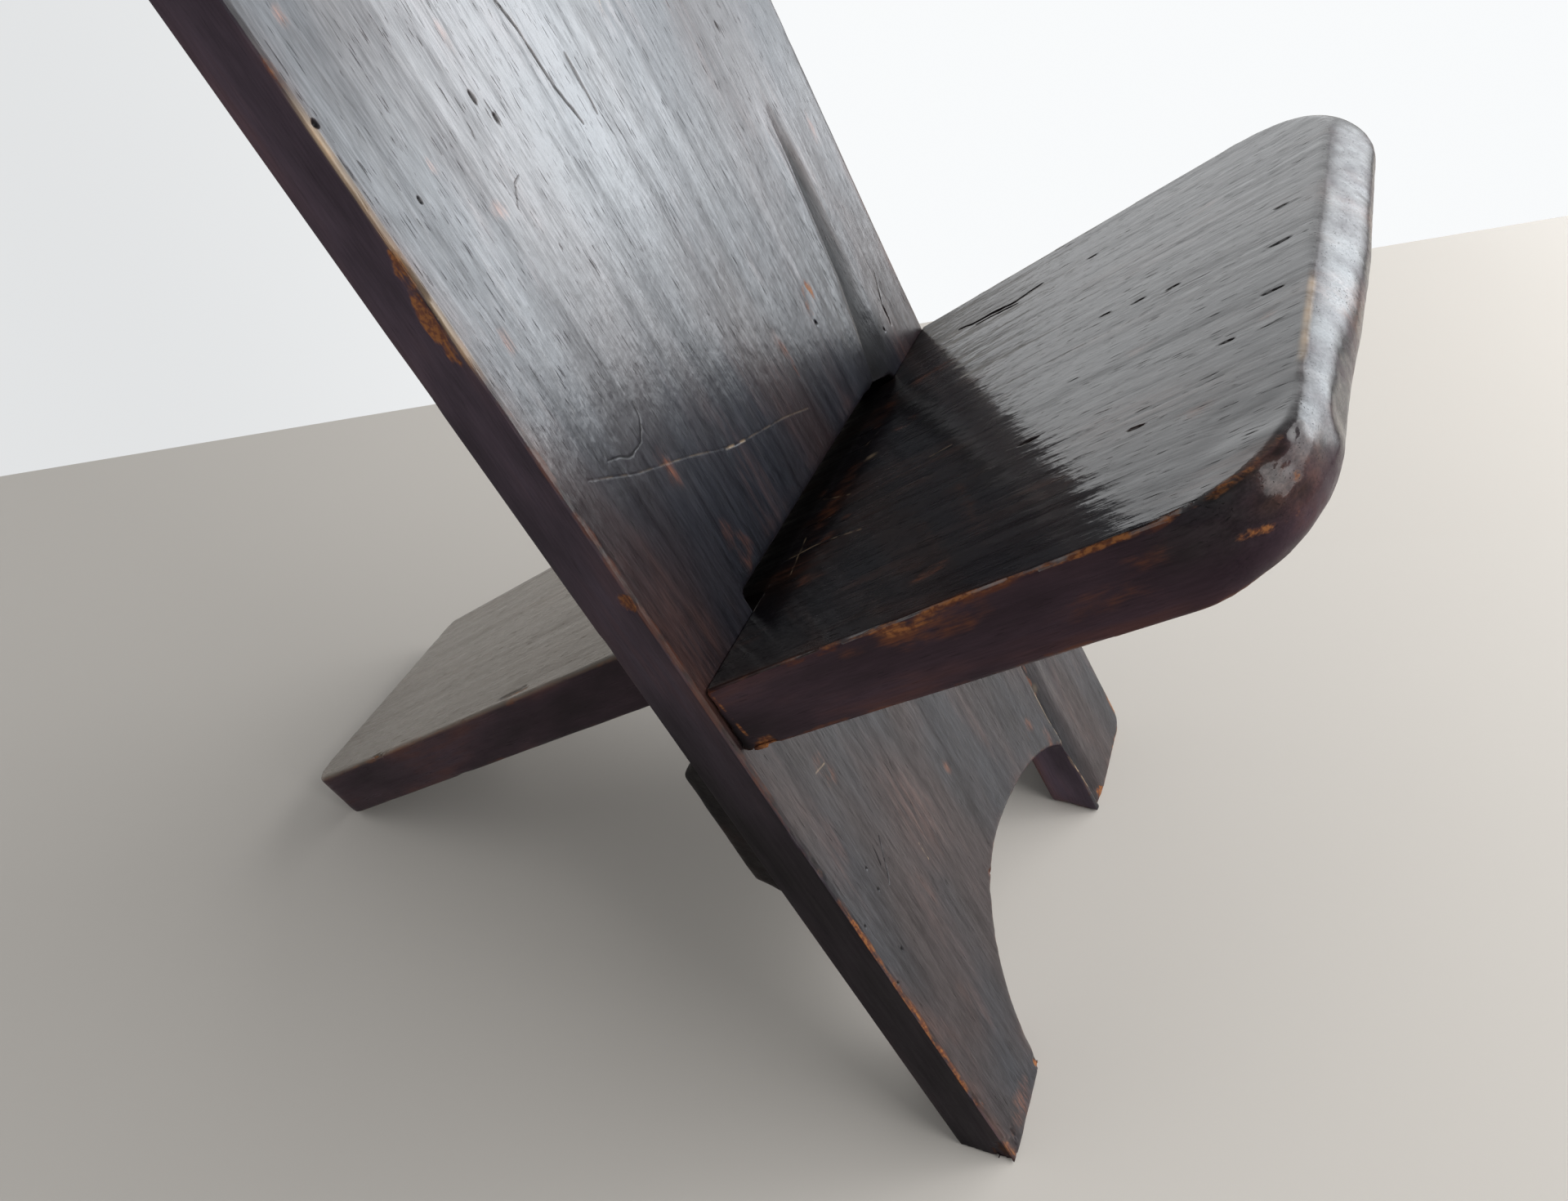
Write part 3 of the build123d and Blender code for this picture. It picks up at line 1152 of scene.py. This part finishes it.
@dataclass
class BackPlank:
    """The long plank that stands on two feet and leans to the rear."""

    lean: float = 26.8
    thickness: float = 32.0
    near_edge: float = -180.0
    slot_half_width: float = 115.5
    slot_from: float = 318.0
    slot_to: float = 376.0
    foot_line: Place = (-0.012236, -0.242897, 0.0)
    step: float = 2.0
    seed: int = 11
    hewn: float = 0.55
    finish: WoodFinish = field(default_factory=lambda: WoodFinish(
        "back_hardwood", cool=(46, 49, 57), warm=(58, 48, 50), side=(98, 84, 98), russet=(116, 72, 54),
        line=(88, 50, 34), russet_amount=0.14, figure=0.32, streak_height=0.34, pores=0.6,
        polish=Polish(ior=1.8, cover=0.28)))

    def axes(self) -> PlankAxes:
        """The plank's directions, from the line where its show face meets the floor."""
        return PlankAxes(self.foot_line, direction(90 - self.lean), direction(-self.lean))

    def marks(self) -> list[Mark]:
        """Lists what use has left on the plank.

        Returns:
            The marks, in the order in which they are cut.
        """
        edge = self.near_edge
        rust = [((-137, 602), (5, 9)), ((-118, 575), (10, 9)), ((20, 432), (6, 24)), ((164, 505), (6, 30)),
                ((-100, 392), (11, 24)), ((-135, 275), (12, 18)), ((-43, 185), (7, 14)),
                ((96, 196), (12, 16)), ((60, 118), (14, 12)), ((-150, 14), (30, 18)), ((-160, 668), (6, 10)),
                ((-156, 534), (6, 12)), ((-89, 640), (5, 12)), ((-114, 447), (9, 18))]
        wormholes = [(-150, 218), (-174, 202), (-151, 203), (-161, 168), (-177, 161)]
        return [
            # worn trough above the seat, its dark paint a painted shade, and painted shade where it meets the
            # slot; then the open split that runs down into the +X foot
            Channel(((126, 550), (122, 505), (117, 470), (112, 435), (104, 405), (84, 350)), depth=3.0,
                    near_width=4.0, far_width=36.0, soot_and_shade=0.84, fade=0.3, fade_out=0.01, start_width=0.28,
                    plateau=0.3, ridge=1.2),
            # painted shade in the corner where the trough meets the slot
            Patch((120, 388, 0), (24, 26, 8), 0.75, Wear.SOOT_AND_SHADE),
            Patch((94, 372, 0), (26, 9, 12), 0.9, Wear.SOOT_AND_SHADE),
            Channel(((112, 340), (104, 250), (96, 180), (91, 145), (91, 99), (94, 73), (98, 25), (100, -30)),
                    depth=5.0, near_width=2.2, far_width=22.0, soot_and_shade=0.3, fade=0.06, ridge=0.4),
            Channel(((134, 320), (124, 240), (120, 150), (118, 60)), depth=0.9, near_width=9.0,
                    far_width=14.0, fade=0.2, fade_out=0.2),
            Scratch(((112, 290), (108, 240), (102, 185), (97, 140), (94, 104)), width=4.2, amount=1.0,
                    wear=Wear.RUST),
            Split(((114, 300), (108, 250), (101, 190), (96, 140), (93, 106)), width=1.7, depth=1.0, soot_and_shade=0.9),
            Scratch(((88, 145), (89, 99), (92, 73), (96, 25)), width=0.8, amount=0.5),
            Patch((99, 119, 5), (3, 5, 6), 0.18, Wear.PALE), Patch((78, 92, 0), (9, 16, 6), 0.5, Wear.RUST),
            Split(((153, 418), (149, 409), (144, 400), (142, 386)), width=1.0, depth=1.6),
            Split(((-128, 218), (-142, 196)), width=0.7, soot_and_shade=0.8),
            Split(((-145, 470), (-129, 463), (-120, 464), (-113, 471), (-111, 480)), width=0.8, depth=0.12,
                  soot_and_shade=0.8),
            Split(((-48, 652), (-44, 630), (-41, 604), (-36, 584)), width=0.9, depth=0.6, soot_and_shade=0.8),
            Split(((-21, 613), (-23, 583)), width=0.8, depth=0.6, soot_and_shade=0.6),
            Split(((-107, 571), (-100, 580), (-94, 581)), width=0.5, depth=0.3, soot_and_shade=0.5),
            Scratch(((-162, 471), (-134, 456), (-99, 442), (-62, 425), (-12, 411), (13, 402)), width=0.5,
                    amount=0.15),
            Scratch(((-70, 428), (-52, 422)), width=0.9, amount=0.5),
            Split(((-137, 220), (-140, 208)), width=0.6, depth=0.4, soot_and_shade=0.9),
            Scratch(((-103, 186), (-103, 172)), amount=0.5),
            Scratch(((-145, 280), (-133, 277)), amount=0.5),
            Scratch(((34, 640), (22, 616)), amount=0.3),
            Patch((71, 446, 0), (10, 10, 6), 1.0), Patch((66, 439, 0), (6, 8, 6), 0.8),
            *[Patch((*place, 0), (*reach, 7), 0.4, Wear.RUST) for place, reach in rust],
            Pit((-176, 634), 1.6, 1.8, 1.4), Pit((63, 429), 1.4, 2.6), Pit((132, 388)),
            *[Pit(place) for place in wormholes],
            Pit((117, 585), 1.1, 4.0), Pit((-94, 616), 1.3, 4.0), Pit((-88, 605), 1.2, 3.0), Pit((-153, 595)),
            RubbedEdge(((edge + 1, 525, 0), (edge + 1, 652, 0)), 3.2, 0.8),
            RubbedEdge(((edge + 1, 600, 0), (edge, 836, 0)), 2.8, 0.7, Wear.BARE),
            RubbedEdge(((edge, 10, 0), (edge, 250, 0)), 3.8, 1.0, Wear.BARE),
            RubbedEdge(((edge, 230, 0), (edge, 520, 0)), 2.8, 0.6, Wear.RUST),
            Chip((edge, 577, 3), (3.5, 16, 5), 1.0, 0.9),
            Chip((edge, 557, 6), (3.5, 18, 5.5), 1.0, 0.7),
            Chip((edge, 419, 4), (4, 7, 5), 0.8, 1.2),
            Chip((edge, 250, 0), (4, 12, 3), 0.5, 0.9),
            Chip((edge, 208, 0), (3, 5, 3), 0.6, 0.8),
            Chip((edge, 60, 0), (4, 14, 3), 0.6, 1.0),
            Chip((edge, 12, 2), (12, 12, 12), 0.5, 1.2),
            Chip((-113, 2, 0), (8, 14, 10), 0.6, 1.4),
            Chip((111, 3, 0), (8, 6, 5), 1.0, 0.4),
            RubbedEdge(((190, 44, 0), (191, 4, 0), (188, 0, 0), (148, 0, 0)), 7.5, 1.0, Wear.BARE),
            RubbedEdge(((191, 22, 0), (190, 2, 0), (168, 0, 0)), 4.0, 0.6),
            Chip((-60, 112, 4), (3, 3, 8), 0.2, 1.4),
        ]

    def clear_of_slot(self, local: np.ndarray) -> np.ndarray:
        """Keeps hand wear away from the slot's own corners.

        Args:
            local: The surface's points.

        Returns:
            0 round the slot, rising to 1 away from it.
        """
        aside = np.abs(local[:, 0]) - self.slot_half_width
        above = np.maximum(local[:, 1] - self.slot_to, self.slot_from - local[:, 1])
        return ease(2.0, 7.0, np.maximum(aside, above))

    def handled(self, across: np.ndarray, along: np.ndarray, rim: np.ndarray) -> np.ndarray:
        """Says how much hand polish the show face keeps.

        Args:
            across: The points' places across the plank.
            along: Their places up the plank.
            rim: 1 round the slot, falling to 0 away from it.

        Returns:
            About 0 to 1 for each point.
        """
        polish = 0.62 - 0.12 * ease(520.0, 600.0, along)
        # a band where backs have leaned, and a weaker one just above the slot
        polish = polish + 0.50 * hump(across, -50.0, 80.0) * ease(490.0, 590.0, along)
        polish = polish + 0.12 * hump(along, 430.0, 60.0) * (1 - rim)
        # the dull upper parts on both sides of the band
        polish = polish * (1 - 0.32 * ease(-10.0, 110.0, across) * ease(500.0, 600.0, along))
        polish = polish - 0.22 * ease(-90.0, -135.0, across) * ease(610.0, 660.0, along)
        return polish * ease(-700.0, 480.0, along)

    def age(self, skin: Skin) -> None:
        """Paints shade round and inside the slot and low on the sides, the polish and the figure.

        Args:
            skin: The worn surface.
        """
        rim = 1 - self.clear_of_slot(skin.local)
        skin.paint["halo"] *= 1 - rim
        across, along = skin.local[:, 0], skin.local[:, 1]
        front, rear = skin.facing(Side.SHOW, 0.7), skin.facing(Side.HIDDEN, 0.7)
        # painted shade inside the slot and round its rim, faint on the show face
        skin.darken("soot_and_shade", rim ** 1.5 * (1 - 0.85 * front))
        # painted shade: the sides, and half as much the rear face, darken towards the feet
        outer = np.maximum(ease(145.0, 172.0, np.abs(across)), 0.5 * rear)
        skin.darken("soot_and_shade", 0.8 * ease(640.0, 160.0, along) * outer * (1 - skin.facing(Side.SHOW)))
        skin.paint["film"] = front * self.handled(across, along, rim)
        skin.paint["figure"] = np.maximum(front, 0.7 * rear)

    def build(self) -> bpy.types.Object:
        """Cuts, wears and finishes the plank.

        Returns:
            The plank's object.
        """
        skin = fresh_skin("back_plank", self.axes(), self.step, levels=(0.0, self.thickness))
        skin.paint["edge"] *= self.clear_of_slot(skin.local)
        skin.refine(self.marks())
        wear_surface(skin, self.seed, self.hewn, self.marks())
        self.age(skin)
        return show("back_plank_worn", skin.write(), self.finish.material(), "back",
                    "back_wood", "back_plank")


@dataclass
class SeatPlank:
    """The plank that carries the sitter in front and runs down to the tail behind."""

    rise: float = 36.8
    thickness: float = 39.0
    near_edge: float = -177.0
    shoulder_line: Place = (-0.012236, -0.078557, 0.325350)
    step: float = 2.0
    seed: int = 23
    hewn: float = 0.5
    nose_front: float = 268.0
    nose_slope: float = 0.6
    nose_blend: float = 1.6
    finish: WoodFinish = field(default_factory=lambda: WoodFinish(
        "seat_hardwood", cool=(25, 26, 29), warm=(34, 27, 25), side=(78, 60, 70), russet=(104, 62, 42),
        roughness=0.34, grain_height=0.0004, ridges=1.0, pore_depth=0.12, under_gloss=0.1,
        streak_height=0.35, fibre_height=0.06, polish=Polish(roughness=0.10, ior=1.8, cover=0.35)))

    def axes(self) -> PlankAxes:
        """The plank's directions, from the line where its top meets the back plank's face."""
        return PlankAxes(self.shoulder_line, direction(180 - self.rise), direction(270 - self.rise))

    def marks(self) -> list[Mark]:
        """Lists what use has left on the plank.

        Returns:
            The marks, in the order in which they are cut.
        """
        pits = [(132, 136), (33, 163), (28, 182), (23, 200), (-64, 235), (-36, 250), (11, 252), (54, 249),
                (-104, 202), (-71, 145)]
        rust = [((-109, 32), (9, 26)), ((-60, 34), (4, 7)), ((-14, -2), (9, 5)), ((25, 39), (10, 14)),
                ((83, 39), (16, 26)), ((-150, 118), (8, 14)), ((-75, 29), (7, 9)), ((-59, 251), (10, 8)),
                ((-112, 229), (8, 14)), ((72, 206), (9, 12)), ((-30, 190), (8, 20)), ((110, 205), (9, 24))]
        near = self.near_edge
        near_side = ((near, 4, 0), (-180.6, 200, 0), (-181, 216, 0), (-177.5, 238, 0), (-168, 252, 0.5),
                     (-157, 262, 1), (-142, 267, 1))
        return [
            Split(((134, 43), (131, 60), (128, 85), (134, 103)), width=2.0, depth=2.4),
            Split(((126, 58), (123, 88)), width=1.0, depth=1.4),
            *[Pit(place, 1.1, 4.5, 1.2) for place in pits],
            *[Patch((*place, 0), (*reach, 8), 0.5, Wear.RUST) for place, reach in rust],
            Scratch(((-79, 0), (-76, 26), (-82, 54)), width=0.8, amount=0.5),
            Scratch(((-36, 78), (-34, 92)), width=0.7, amount=0.5),
            Scratch(((-23, 2), (-34, 27)), width=0.7, amount=0.35),
            Patch((4, 26, 0), (3, 5, 6), 0.5, Wear.PALE),
            Patch((-34, 16, 0), (62, 12, 8), 0.4, Wear.RUST),
            Patch((64, 14, 0), (36, 11, 8), 0.35, Wear.RUST),
            Scratch(((-98, 15), (-62, 9)), width=0.6, amount=0.4),
            Scratch(((18, 12), (40, 21)), width=0.6, amount=0.35),
            RubbedEdge(((-110, 267, 0), (-30, 268, 0)), 3.2, 0.8),
            RubbedEdge(near_side, 3.9, 1.0, Wear.BARE),
            Patch((near - 3, 116, 4), (8, 34, 6), 0.6),
            Patch((near - 3, 116, 8), (8, 52, 12), 0.7, Wear.RUST),
            Patch((near - 5, 190, 22), (12, 34, 10), 0.35, Wear.RUST),
            Patch((near - 2, 214, 12), (12, 18, 8), 0.4, Wear.RUST),
            # the round corner of the nose: a line of bare wood, a dark line, dark patches, one of them a
            # painted dark reflection between the polished spots, and three polished spots
            RubbedEdge(((-178, 239, 18), (-177, 242, 19), (-169, 254, 24), (-162, 260, 25)), 2.8, 0.9,
                       Wear.BARE),
            RubbedEdge(((-154, 264, 4), (-166, 256, 3), (-177, 236, 1.6)), 2.4, 0.8, Wear.SOOT_AND_SHADE),
            Patch((-160, 263, 14), (4, 4, 4), 0.7, Wear.BARE),
            # painted dark reflection between two polished spots
            Patch((-171, 253, 12), (7, 8, 6), 0.5, Wear.SOOT_AND_SHADE),
            Patch((-160, 262, 20), (8, 7, 5), 0.4, Wear.SOOT_AND_SHADE),
            Patch((-151, 266, 4), (8, 6, 5), 1.0, Wear.SHINE, 0.5),
            Patch((-162, 262, 10), (8, 8, 6), 1.0, Wear.SHINE, 0.6),
            Patch((-174, 245, 4), (5, 8, 4), 1.0, Wear.SHINE, 0.4),
            RubbedEdge(((near + 1, 2, 2), (near + 1, 2, 36)), 1.8, 0.5, Wear.BARE),
            Chip((-176, 6, 36), (6, 10, 6), 0.5, 1.0),
            Chip((-91, -395, 0), (6, 9, 5), 0.7, 1.4),
            Chip((-88, -225, 0), (3, 20, 3), 0.4, 0.9),
        ]

    def on_nose(self, local: np.ndarray) -> np.ndarray:
        """Marks the handled front.

        Args:
            local: The surface's points.

        Returns:
            1 on the front, falling to 0 on the top, and on the sides behind the round corners.
        """
        corner = ease(-108.0, -150.0, local[:, 0])
        slope = local[:, 1] + 0.35 * local[:, 2] * (1 - corner) + 34.0 * corner
        return ease(244.0, 273.0, slope) * ease(39.0 - 10.0 * corner, 32.0 - 20.0 * corner, local[:, 2])

    def shape_nose(self, skin: Skin) -> None:
        """Wears the front to the slanting, uneven facet that hands have left.

        Args:
            skin: The plank's surface.
        """
        across, along, through = skin.local.T
        worn_back = [(-200, 7), (-150, 8), (-110, 8), (-80, 7), (-41, 4), (20, 1.5), (110, 1), (200, 0)]
        set_back = np.interp(across, *np.array(worn_back).T)
        along = along - set_back * ease(0.0, 20.0, through) * ease(205.0, 262.0, along)
        over = (along - self.nose_front - self.nose_slope * np.clip(through, 0, 22)) / self.nose_blend
        soft = self.nose_blend * np.log1p(np.exp(np.clip(over, -20, 20)))
        skin.local[:, 1] = along - soft * ease(250.0, 262.0, along)
        # even out the front only, then bend its near corner a little
        front = ease(252.0, 262.0, skin.local[:, 1])[:, None]
        for _ in range(2):
            skin.local = skin.local + front * (skin.spread(skin.local, 3) - skin.local)
        skin.measure()
        bend = ease(-95.0, -135.0, across) * ease(222.0, 242.0, skin.local[:, 1])
        skin.press(bend * (0.5 + 0.7 * RAGGED.rough(skin.local, (15.0, 15.0, 11.0), 2)))
        skin.measure()

    def age(self, skin: Skin) -> None:
        """Paints the polish, which is thin at the joint, the figure, the pale tail and painted shade on the
        part inside the slot.

        Args:
            skin: The worn surface.
        """
        along = skin.local[:, 1]
        uneven = np.minimum(1.0, 0.75 + 0.5 * RAGGED.rough(skin.local, (16.0, 16.0, 12.0), 3))
        nose = self.on_nose(skin.local) * uneven
        joint = along + 0.12 * skin.local[:, 0]
        clean = np.maximum(0.38 + 0.62 * ease(6.0, 66.0, joint), ease(-20.0, -50.0, joint))
        top, under = skin.facing(Side.SHOW, 0.7), skin.facing(Side.HIDDEN, 0.7)
        skin.paint["film"] = np.maximum(top * clean, 0.38 * nose)
        skin.darken("shine", 0.5 * nose)
        skin.paint["figure"] = np.maximum(np.maximum(top, nose), 0.7 * under)
        skin.darken("pale", 0.15 * ease(-60.0, -140.0, along) * skin.facing(Side.SHOW))
        # painted shade where the seat passes through the back plank's slot
        skin.darken("soot_and_shade", 0.8 * ease(2.0, -3.0, along) * ease(-60.0, -40.0, along))

    def build(self) -> bpy.types.Object:
        """Cuts, wears and finishes the plank.

        Returns:
            The plank's object.
        """
        skin = fresh_skin("seat_plank", self.axes(), self.step, levels=(0.0, self.thickness))
        skin.refine(self.marks())
        self.shape_nose(skin)
        wear_surface(skin, self.seed, self.hewn, self.marks())
        self.age(skin)
        return show("seat_plank_worn", skin.write(), self.finish.material(), "seat",
                    "seat_wood", "seat_plank")


@dataclass
class Bearer:
    """The rough cross piece under the tail, and the pegs that hold it. Its grain runs along the chair's X."""

    grain: tuple[int, int, int] = (1, 0, 2)
    step: float = 1.6
    peg_step: float = 0.7
    seed: int = 31
    hewn: float = 1.3
    peg_count: int = 4
    finish: WoodFinish = field(default_factory=lambda: WoodFinish(
        "bearer_hardwood", deep=(13, 11, 12), side=(32, 27, 28), russet=(60, 40, 34), line=(50, 37, 33),
        russet_amount=0.2, roughness=0.5, grain_height=0.0012))
    peg_finish: WoodFinish = field(default_factory=lambda: WoodFinish(
        "peg_hardwood", deep=(38, 28, 25), side=(84, 66, 58), roughness=0.5,
        grain_height=0.0004))

    def build(self) -> list[bpy.types.Object]:
        """Hews the bearer, which stays behind the back plank, and whittles its pegs.

        Returns:
            The bearer and then each peg.
        """
        back = BackPlank()
        skin = fresh_skin("rear_bearer", back.axes(), self.step, rounds=2)
        cuts = SoftNoise(self.seed).rough(skin.local[:, self.grain], (22.0, 60.0, 14.0), 3)
        skin.press(self.hewn * (0.4 + 0.5 * cuts))
        skin.local[:, 2] = np.maximum(skin.local[:, 2], back.thickness)
        made = [show("rear_bearer_hewn", skin.write(self.grain), self.finish.material(), "back",
                     "bearer_wood", "rear_bearer")]
        peg_material = self.peg_finish.material()
        for number in range(1, self.peg_count + 1):
            node = f"bearer_peg_{number}"
            peg = fresh_skin(node, back.axes(), self.peg_step, rounds=3)
            made.append(show(f"{node}_whittled", peg.write(), peg_material, "back", "peg_wood", node))
        return made


def wear_surface(skin: Skin, seed: int, hewn: float, marks: list[Mark]) -> None:
    """Gives a plank the shallow waves and ribs that hand tools and long use leave, and then its marks.

    Args:
        skin: The plank's surface.
        seed: Keeps each plank's pattern its own.
        hewn: How deep the waves go, in millimetres.
        marks: The marks, in the order in which they are cut.
    """
    noise = SoftNoise(seed)
    waves = noise.rough(skin.local, (85.0, 210.0, 60.0), 3)
    ribs = noise.rough(skin.local + 500.0, (7.0, 140.0, 7.0), 2)
    skin.press(hewn * (0.5 + 0.45 * waves) + 0.16 * (1 + ribs))
    nicks = noise.rough(skin.local + 900.0, (16.0, 26.0, 16.0), 2)
    skin.press(0.7 * skin.paint["edge"] * ease(0.45, 1.1, nicks))
    skin.measure()
    for mark in marks:
        skin.cut(mark)


@dataclass(frozen=True)
class SoftLamp:
    """A large flat lamp that faces the chair."""

    name: str
    towards: Place
    distance: float
    size: tuple[float, float]
    power: float
    in_gloss: bool = True
    aim: Place = (0.0, 0.0, 0.4)

    def hang(self) -> bpy.types.Object:
        """Hangs the lamp.

        Returns:
            The lamp's object.
        """
        light = bpy.data.lights.new(self.name, "AREA")
        light.shape = "RECTANGLE"
        light.size, light.size_y = self.size
        light.energy = self.power
        lamp = placed(self.name, light)
        towards = Vector(self.towards).normalized()
        lamp.location = Vector(self.aim) + towards * self.distance
        lamp.visible_glossy = self.in_gloss
        lamp.rotation_mode = "QUATERNION"
        lamp.rotation_quaternion = towards.to_track_quat("Z", "Y")
        return lamp


@dataclass(frozen=True)
class GlossPatch:
    """A bright part of the room. Its glow starts at the first of each pair and is full at the second."""

    side: Place
    aside: tuple[float, float]
    height: tuple[float, float]

    def share(self, sheet: ShaderSheet, towards: Socket) -> Socket:
        """How much of the patch shows in a direction: 0 beside it and 1 on it."""
        height = sheet.window(sheet.dot(towards, UP), *self.height)
        return sheet.product(sheet.window(sheet.dot(towards, self.side), *self.aside), height)


@dataclass
class Studio:
    """A plain pale floor, soft light and the camera."""

    floor_colour: Tint = (203, 198, 191)
    floor_reach: float = 7.0
    floor_sides: int = 96
    floor_fade: tuple[float, float] = (1.15, 2.8)
    eye: Place = (-0.53044, -0.26993, 0.69975)
    lens: float = 27.85
    yaw: float = 23.54
    pitch: float = -39.80
    roll: float = -4.229
    wall_middle: tuple[float, float] = (0.73992, 0.156088)
    wall_run: tuple[float, float] = (-0.5635, 0.8261)
    wall_height: float = 0.9
    wall_solid_height: float = 0.5
    wall_reach: float = 1.75
    wall_solid_reach: float = 1.08
    wall_glow: float = 0.97
    wall_shade: float = 0.19
    wall_shade_across: tuple[float, float] = (0.25, 0.75)
    ambient: float = 0.36
    gloss_low: float = 0.30
    gloss_lost: float = 0.95
    window_light: GlossPatch = GlossPatch((0.97, -0.22, 0.08), (0.0, 0.55), (0.9, 0.4))
    panel: GlossPatch = GlossPatch((0.785, -0.557, 0.268), (0.88, 0.995), (-0.10, 0.24))
    panel_glow: float = 5.3
    lamps: tuple[SoftLamp, ...] = (
        SoftLamp("window", (0.10, -0.88, 0.50), 3.0, (3.6, 2.2), 80.0),
        SoftLamp("side_panel", (0.73, -0.60, 0.37), 2.8, (2.6, 2.0), 48.0, False),
        SoftLamp("rear_fill", (-0.30, 0.80, 0.52), 3.0, (2.4, 2.0), 11.0),
    )

    def build_camera(self) -> None:
        """Places the camera and makes it the scene's own."""
        lens = bpy.data.cameras.new("eye")
        lens.sensor_width = 36.0
        lens.lens = self.lens
        lens.clip_start = 0.02
        camera = placed("eye", lens)
        yaw, pitch, roll = (math.radians(v) for v in (self.yaw, self.pitch, self.roll))
        look = Vector((math.cos(pitch) * math.cos(yaw), math.cos(pitch) * math.sin(yaw), math.sin(pitch)))
        level = look.cross(Vector(UP)).normalized()
        upright = level.cross(look)
        right = math.cos(roll) * level + math.sin(roll) * upright
        upward = -math.sin(roll) * level + math.cos(roll) * upright
        turn = Matrix((right, upward, -look)).transposed().to_4x4()
        camera.matrix_world = Matrix.Translation(self.eye) @ turn
        bpy.context.scene.camera = camera

    def build_floor(self) -> bpy.types.Object:
        """Lays the floor, which turns into the pale room far from the chair.

        Returns:
            The floor's object.
        """
        sheet = ShaderSheet(bpy.data.materials.new("pale_floor"))
        place = sheet.node("ShaderNodeTexCoord").outputs["Object"]
        tint = written(*self.floor_colour)
        tone = sheet.mix(tuple(0.96 * v for v in tint), tint, sheet.noise(place, 2.0, 2.0, 3.0))
        near = sheet.surface(tone, 0.6, 1.4, 0.35).outputs[0]
        far = sheet.window(sheet.vector_math("LENGTH", place, output="Value"), *self.floor_fade)
        seen = sheet.product(far, sheet.node("ShaderNodeLightPath").outputs["Is Camera Ray"])
        sheet.close(sheet.glow(near, seen, ROOM_TINT, self.wall_glow))
        turns = [2 * math.pi * step / self.floor_sides for step in range(self.floor_sides)]
        reach = self.floor_reach
        corners = [(reach * math.cos(turn), reach * math.sin(turn), 0.0) for turn in turns]
        return self.stand("floor", corners, sheet.made)

    def build_wall(self) -> bpy.types.Object:
        """Stands a white wall behind the chair. Only the camera sees it, and only from in front.

        Returns:
            The wall's object.
        """
        sheet = ShaderSheet(bpy.data.materials.new("white_wall"))
        in_view = sheet.node("ShaderNodeLightPath").outputs["Is Camera Ray"]
        in_front = sheet.rest(sheet.node("ShaderNodeNewGeometry").outputs["Backfacing"])
        place = sheet.node("ShaderNodeTexCoord").outputs["Object"]
        run = Vector((*self.wall_run, 0))
        middle = Vector((*self.wall_middle, 0))
        aside = sheet.math("ABSOLUTE", sheet.sum(sheet.dot(place, tuple(run)), -middle.dot(run)))
        beside = sheet.window(aside, self.wall_reach, self.wall_solid_reach)
        below = sheet.window(sheet.dot(place, UP), self.wall_height, self.wall_solid_height)
        lighter = sheet.window(sheet.dot(place, (1.0, 0.0, 0.0)), *self.wall_shade_across)
        strength = sheet.weighted((lighter, self.wall_shade), base=self.wall_glow - self.wall_shade)
        clear = sheet.node("ShaderNodeBsdfTransparent").outputs[0]
        seen = sheet.product(in_view, in_front, beside, below)
        sheet.close(sheet.glow(clear, seen, WALL_TINT, strength))
        start, end = (middle + run * reach for reach in (-self.wall_reach, self.wall_reach))
        up = self.wall_height * Vector(UP)
        return self.stand("wall", [end, start, start + up, end + up], sheet.made)

    def stand(self, name: str, corners: list, material: bpy.types.Material) -> bpy.types.Object:
        """Adds one flat part of the stage.

        Args:
            name: Its name.
            corners: Its corners, anticlockwise as seen from in front.
            material: Its material.

        Returns:
            The new object.
        """
        mesh = bpy.data.meshes.new(name)
        mesh.from_pydata([tuple(corner) for corner in corners], [], [tuple(range(len(corners)))])
        mesh.materials.append(material)
        flat = placed(name, mesh)
        return flat

    def build_light(self) -> None:
        """Sets the lamps, and a pale room that is brightest, as gloss shows it, on one side."""
        world = bpy.data.worlds.new("pale_room")
        bpy.context.scene.world = world
        sheet = ShaderSheet(world)
        towards = sheet.node("ShaderNodeTexCoord").outputs["Generated"]
        bright, panel = (patch.share(sheet, towards) for patch in (self.window_light, self.panel))
        in_gloss = sheet.weighted((bright, self.wall_glow - self.gloss_low), (panel, self.panel_glow),
                                  base=self.gloss_low)
        paths = sheet.node("ShaderNodeLightPath").outputs
        again = sheet.window(paths["Glossy Depth"], 1.2, 1.8)
        in_gloss = sheet.product(in_gloss, sheet.weighted((again, -self.gloss_lost), base=1.0))
        in_gloss = sheet.product(sheet.sum(in_gloss, -self.ambient), paths["Is Glossy Ray"])
        seen = sheet.most(paths["Is Camera Ray"], paths["Is Transmission Ray"])
        level = sheet.weighted((seen, self.wall_glow - self.ambient), base=self.ambient)
        glow = sheet.node("ShaderNodeBackground")
        sheet.link(sheet.mix(ROOM_TINT, PANEL_TINT, panel), glow.inputs["Color"])
        sheet.link(sheet.sum(in_gloss, level), glow.inputs["Strength"])
        sheet.close(glow.outputs[0], "World")
        world.cycles.sampling_method = "NONE"
        for lamp in self.lamps:
            lamp.hang()


def main() -> None:
    """Builds the chair and its stage."""
    logging.basicConfig(level=logging.INFO, format="%(name)s: %(message)s")
    bpy.context.scene.view_settings.view_transform = "Standard"
    studio = Studio()
    studio.build_camera()
    studio.build_floor()
    studio.build_wall()
    studio.build_light()
    BackPlank().build()
    SeatPlank().build()
    Bearer().build()


if __name__ == "__main__":
    main()
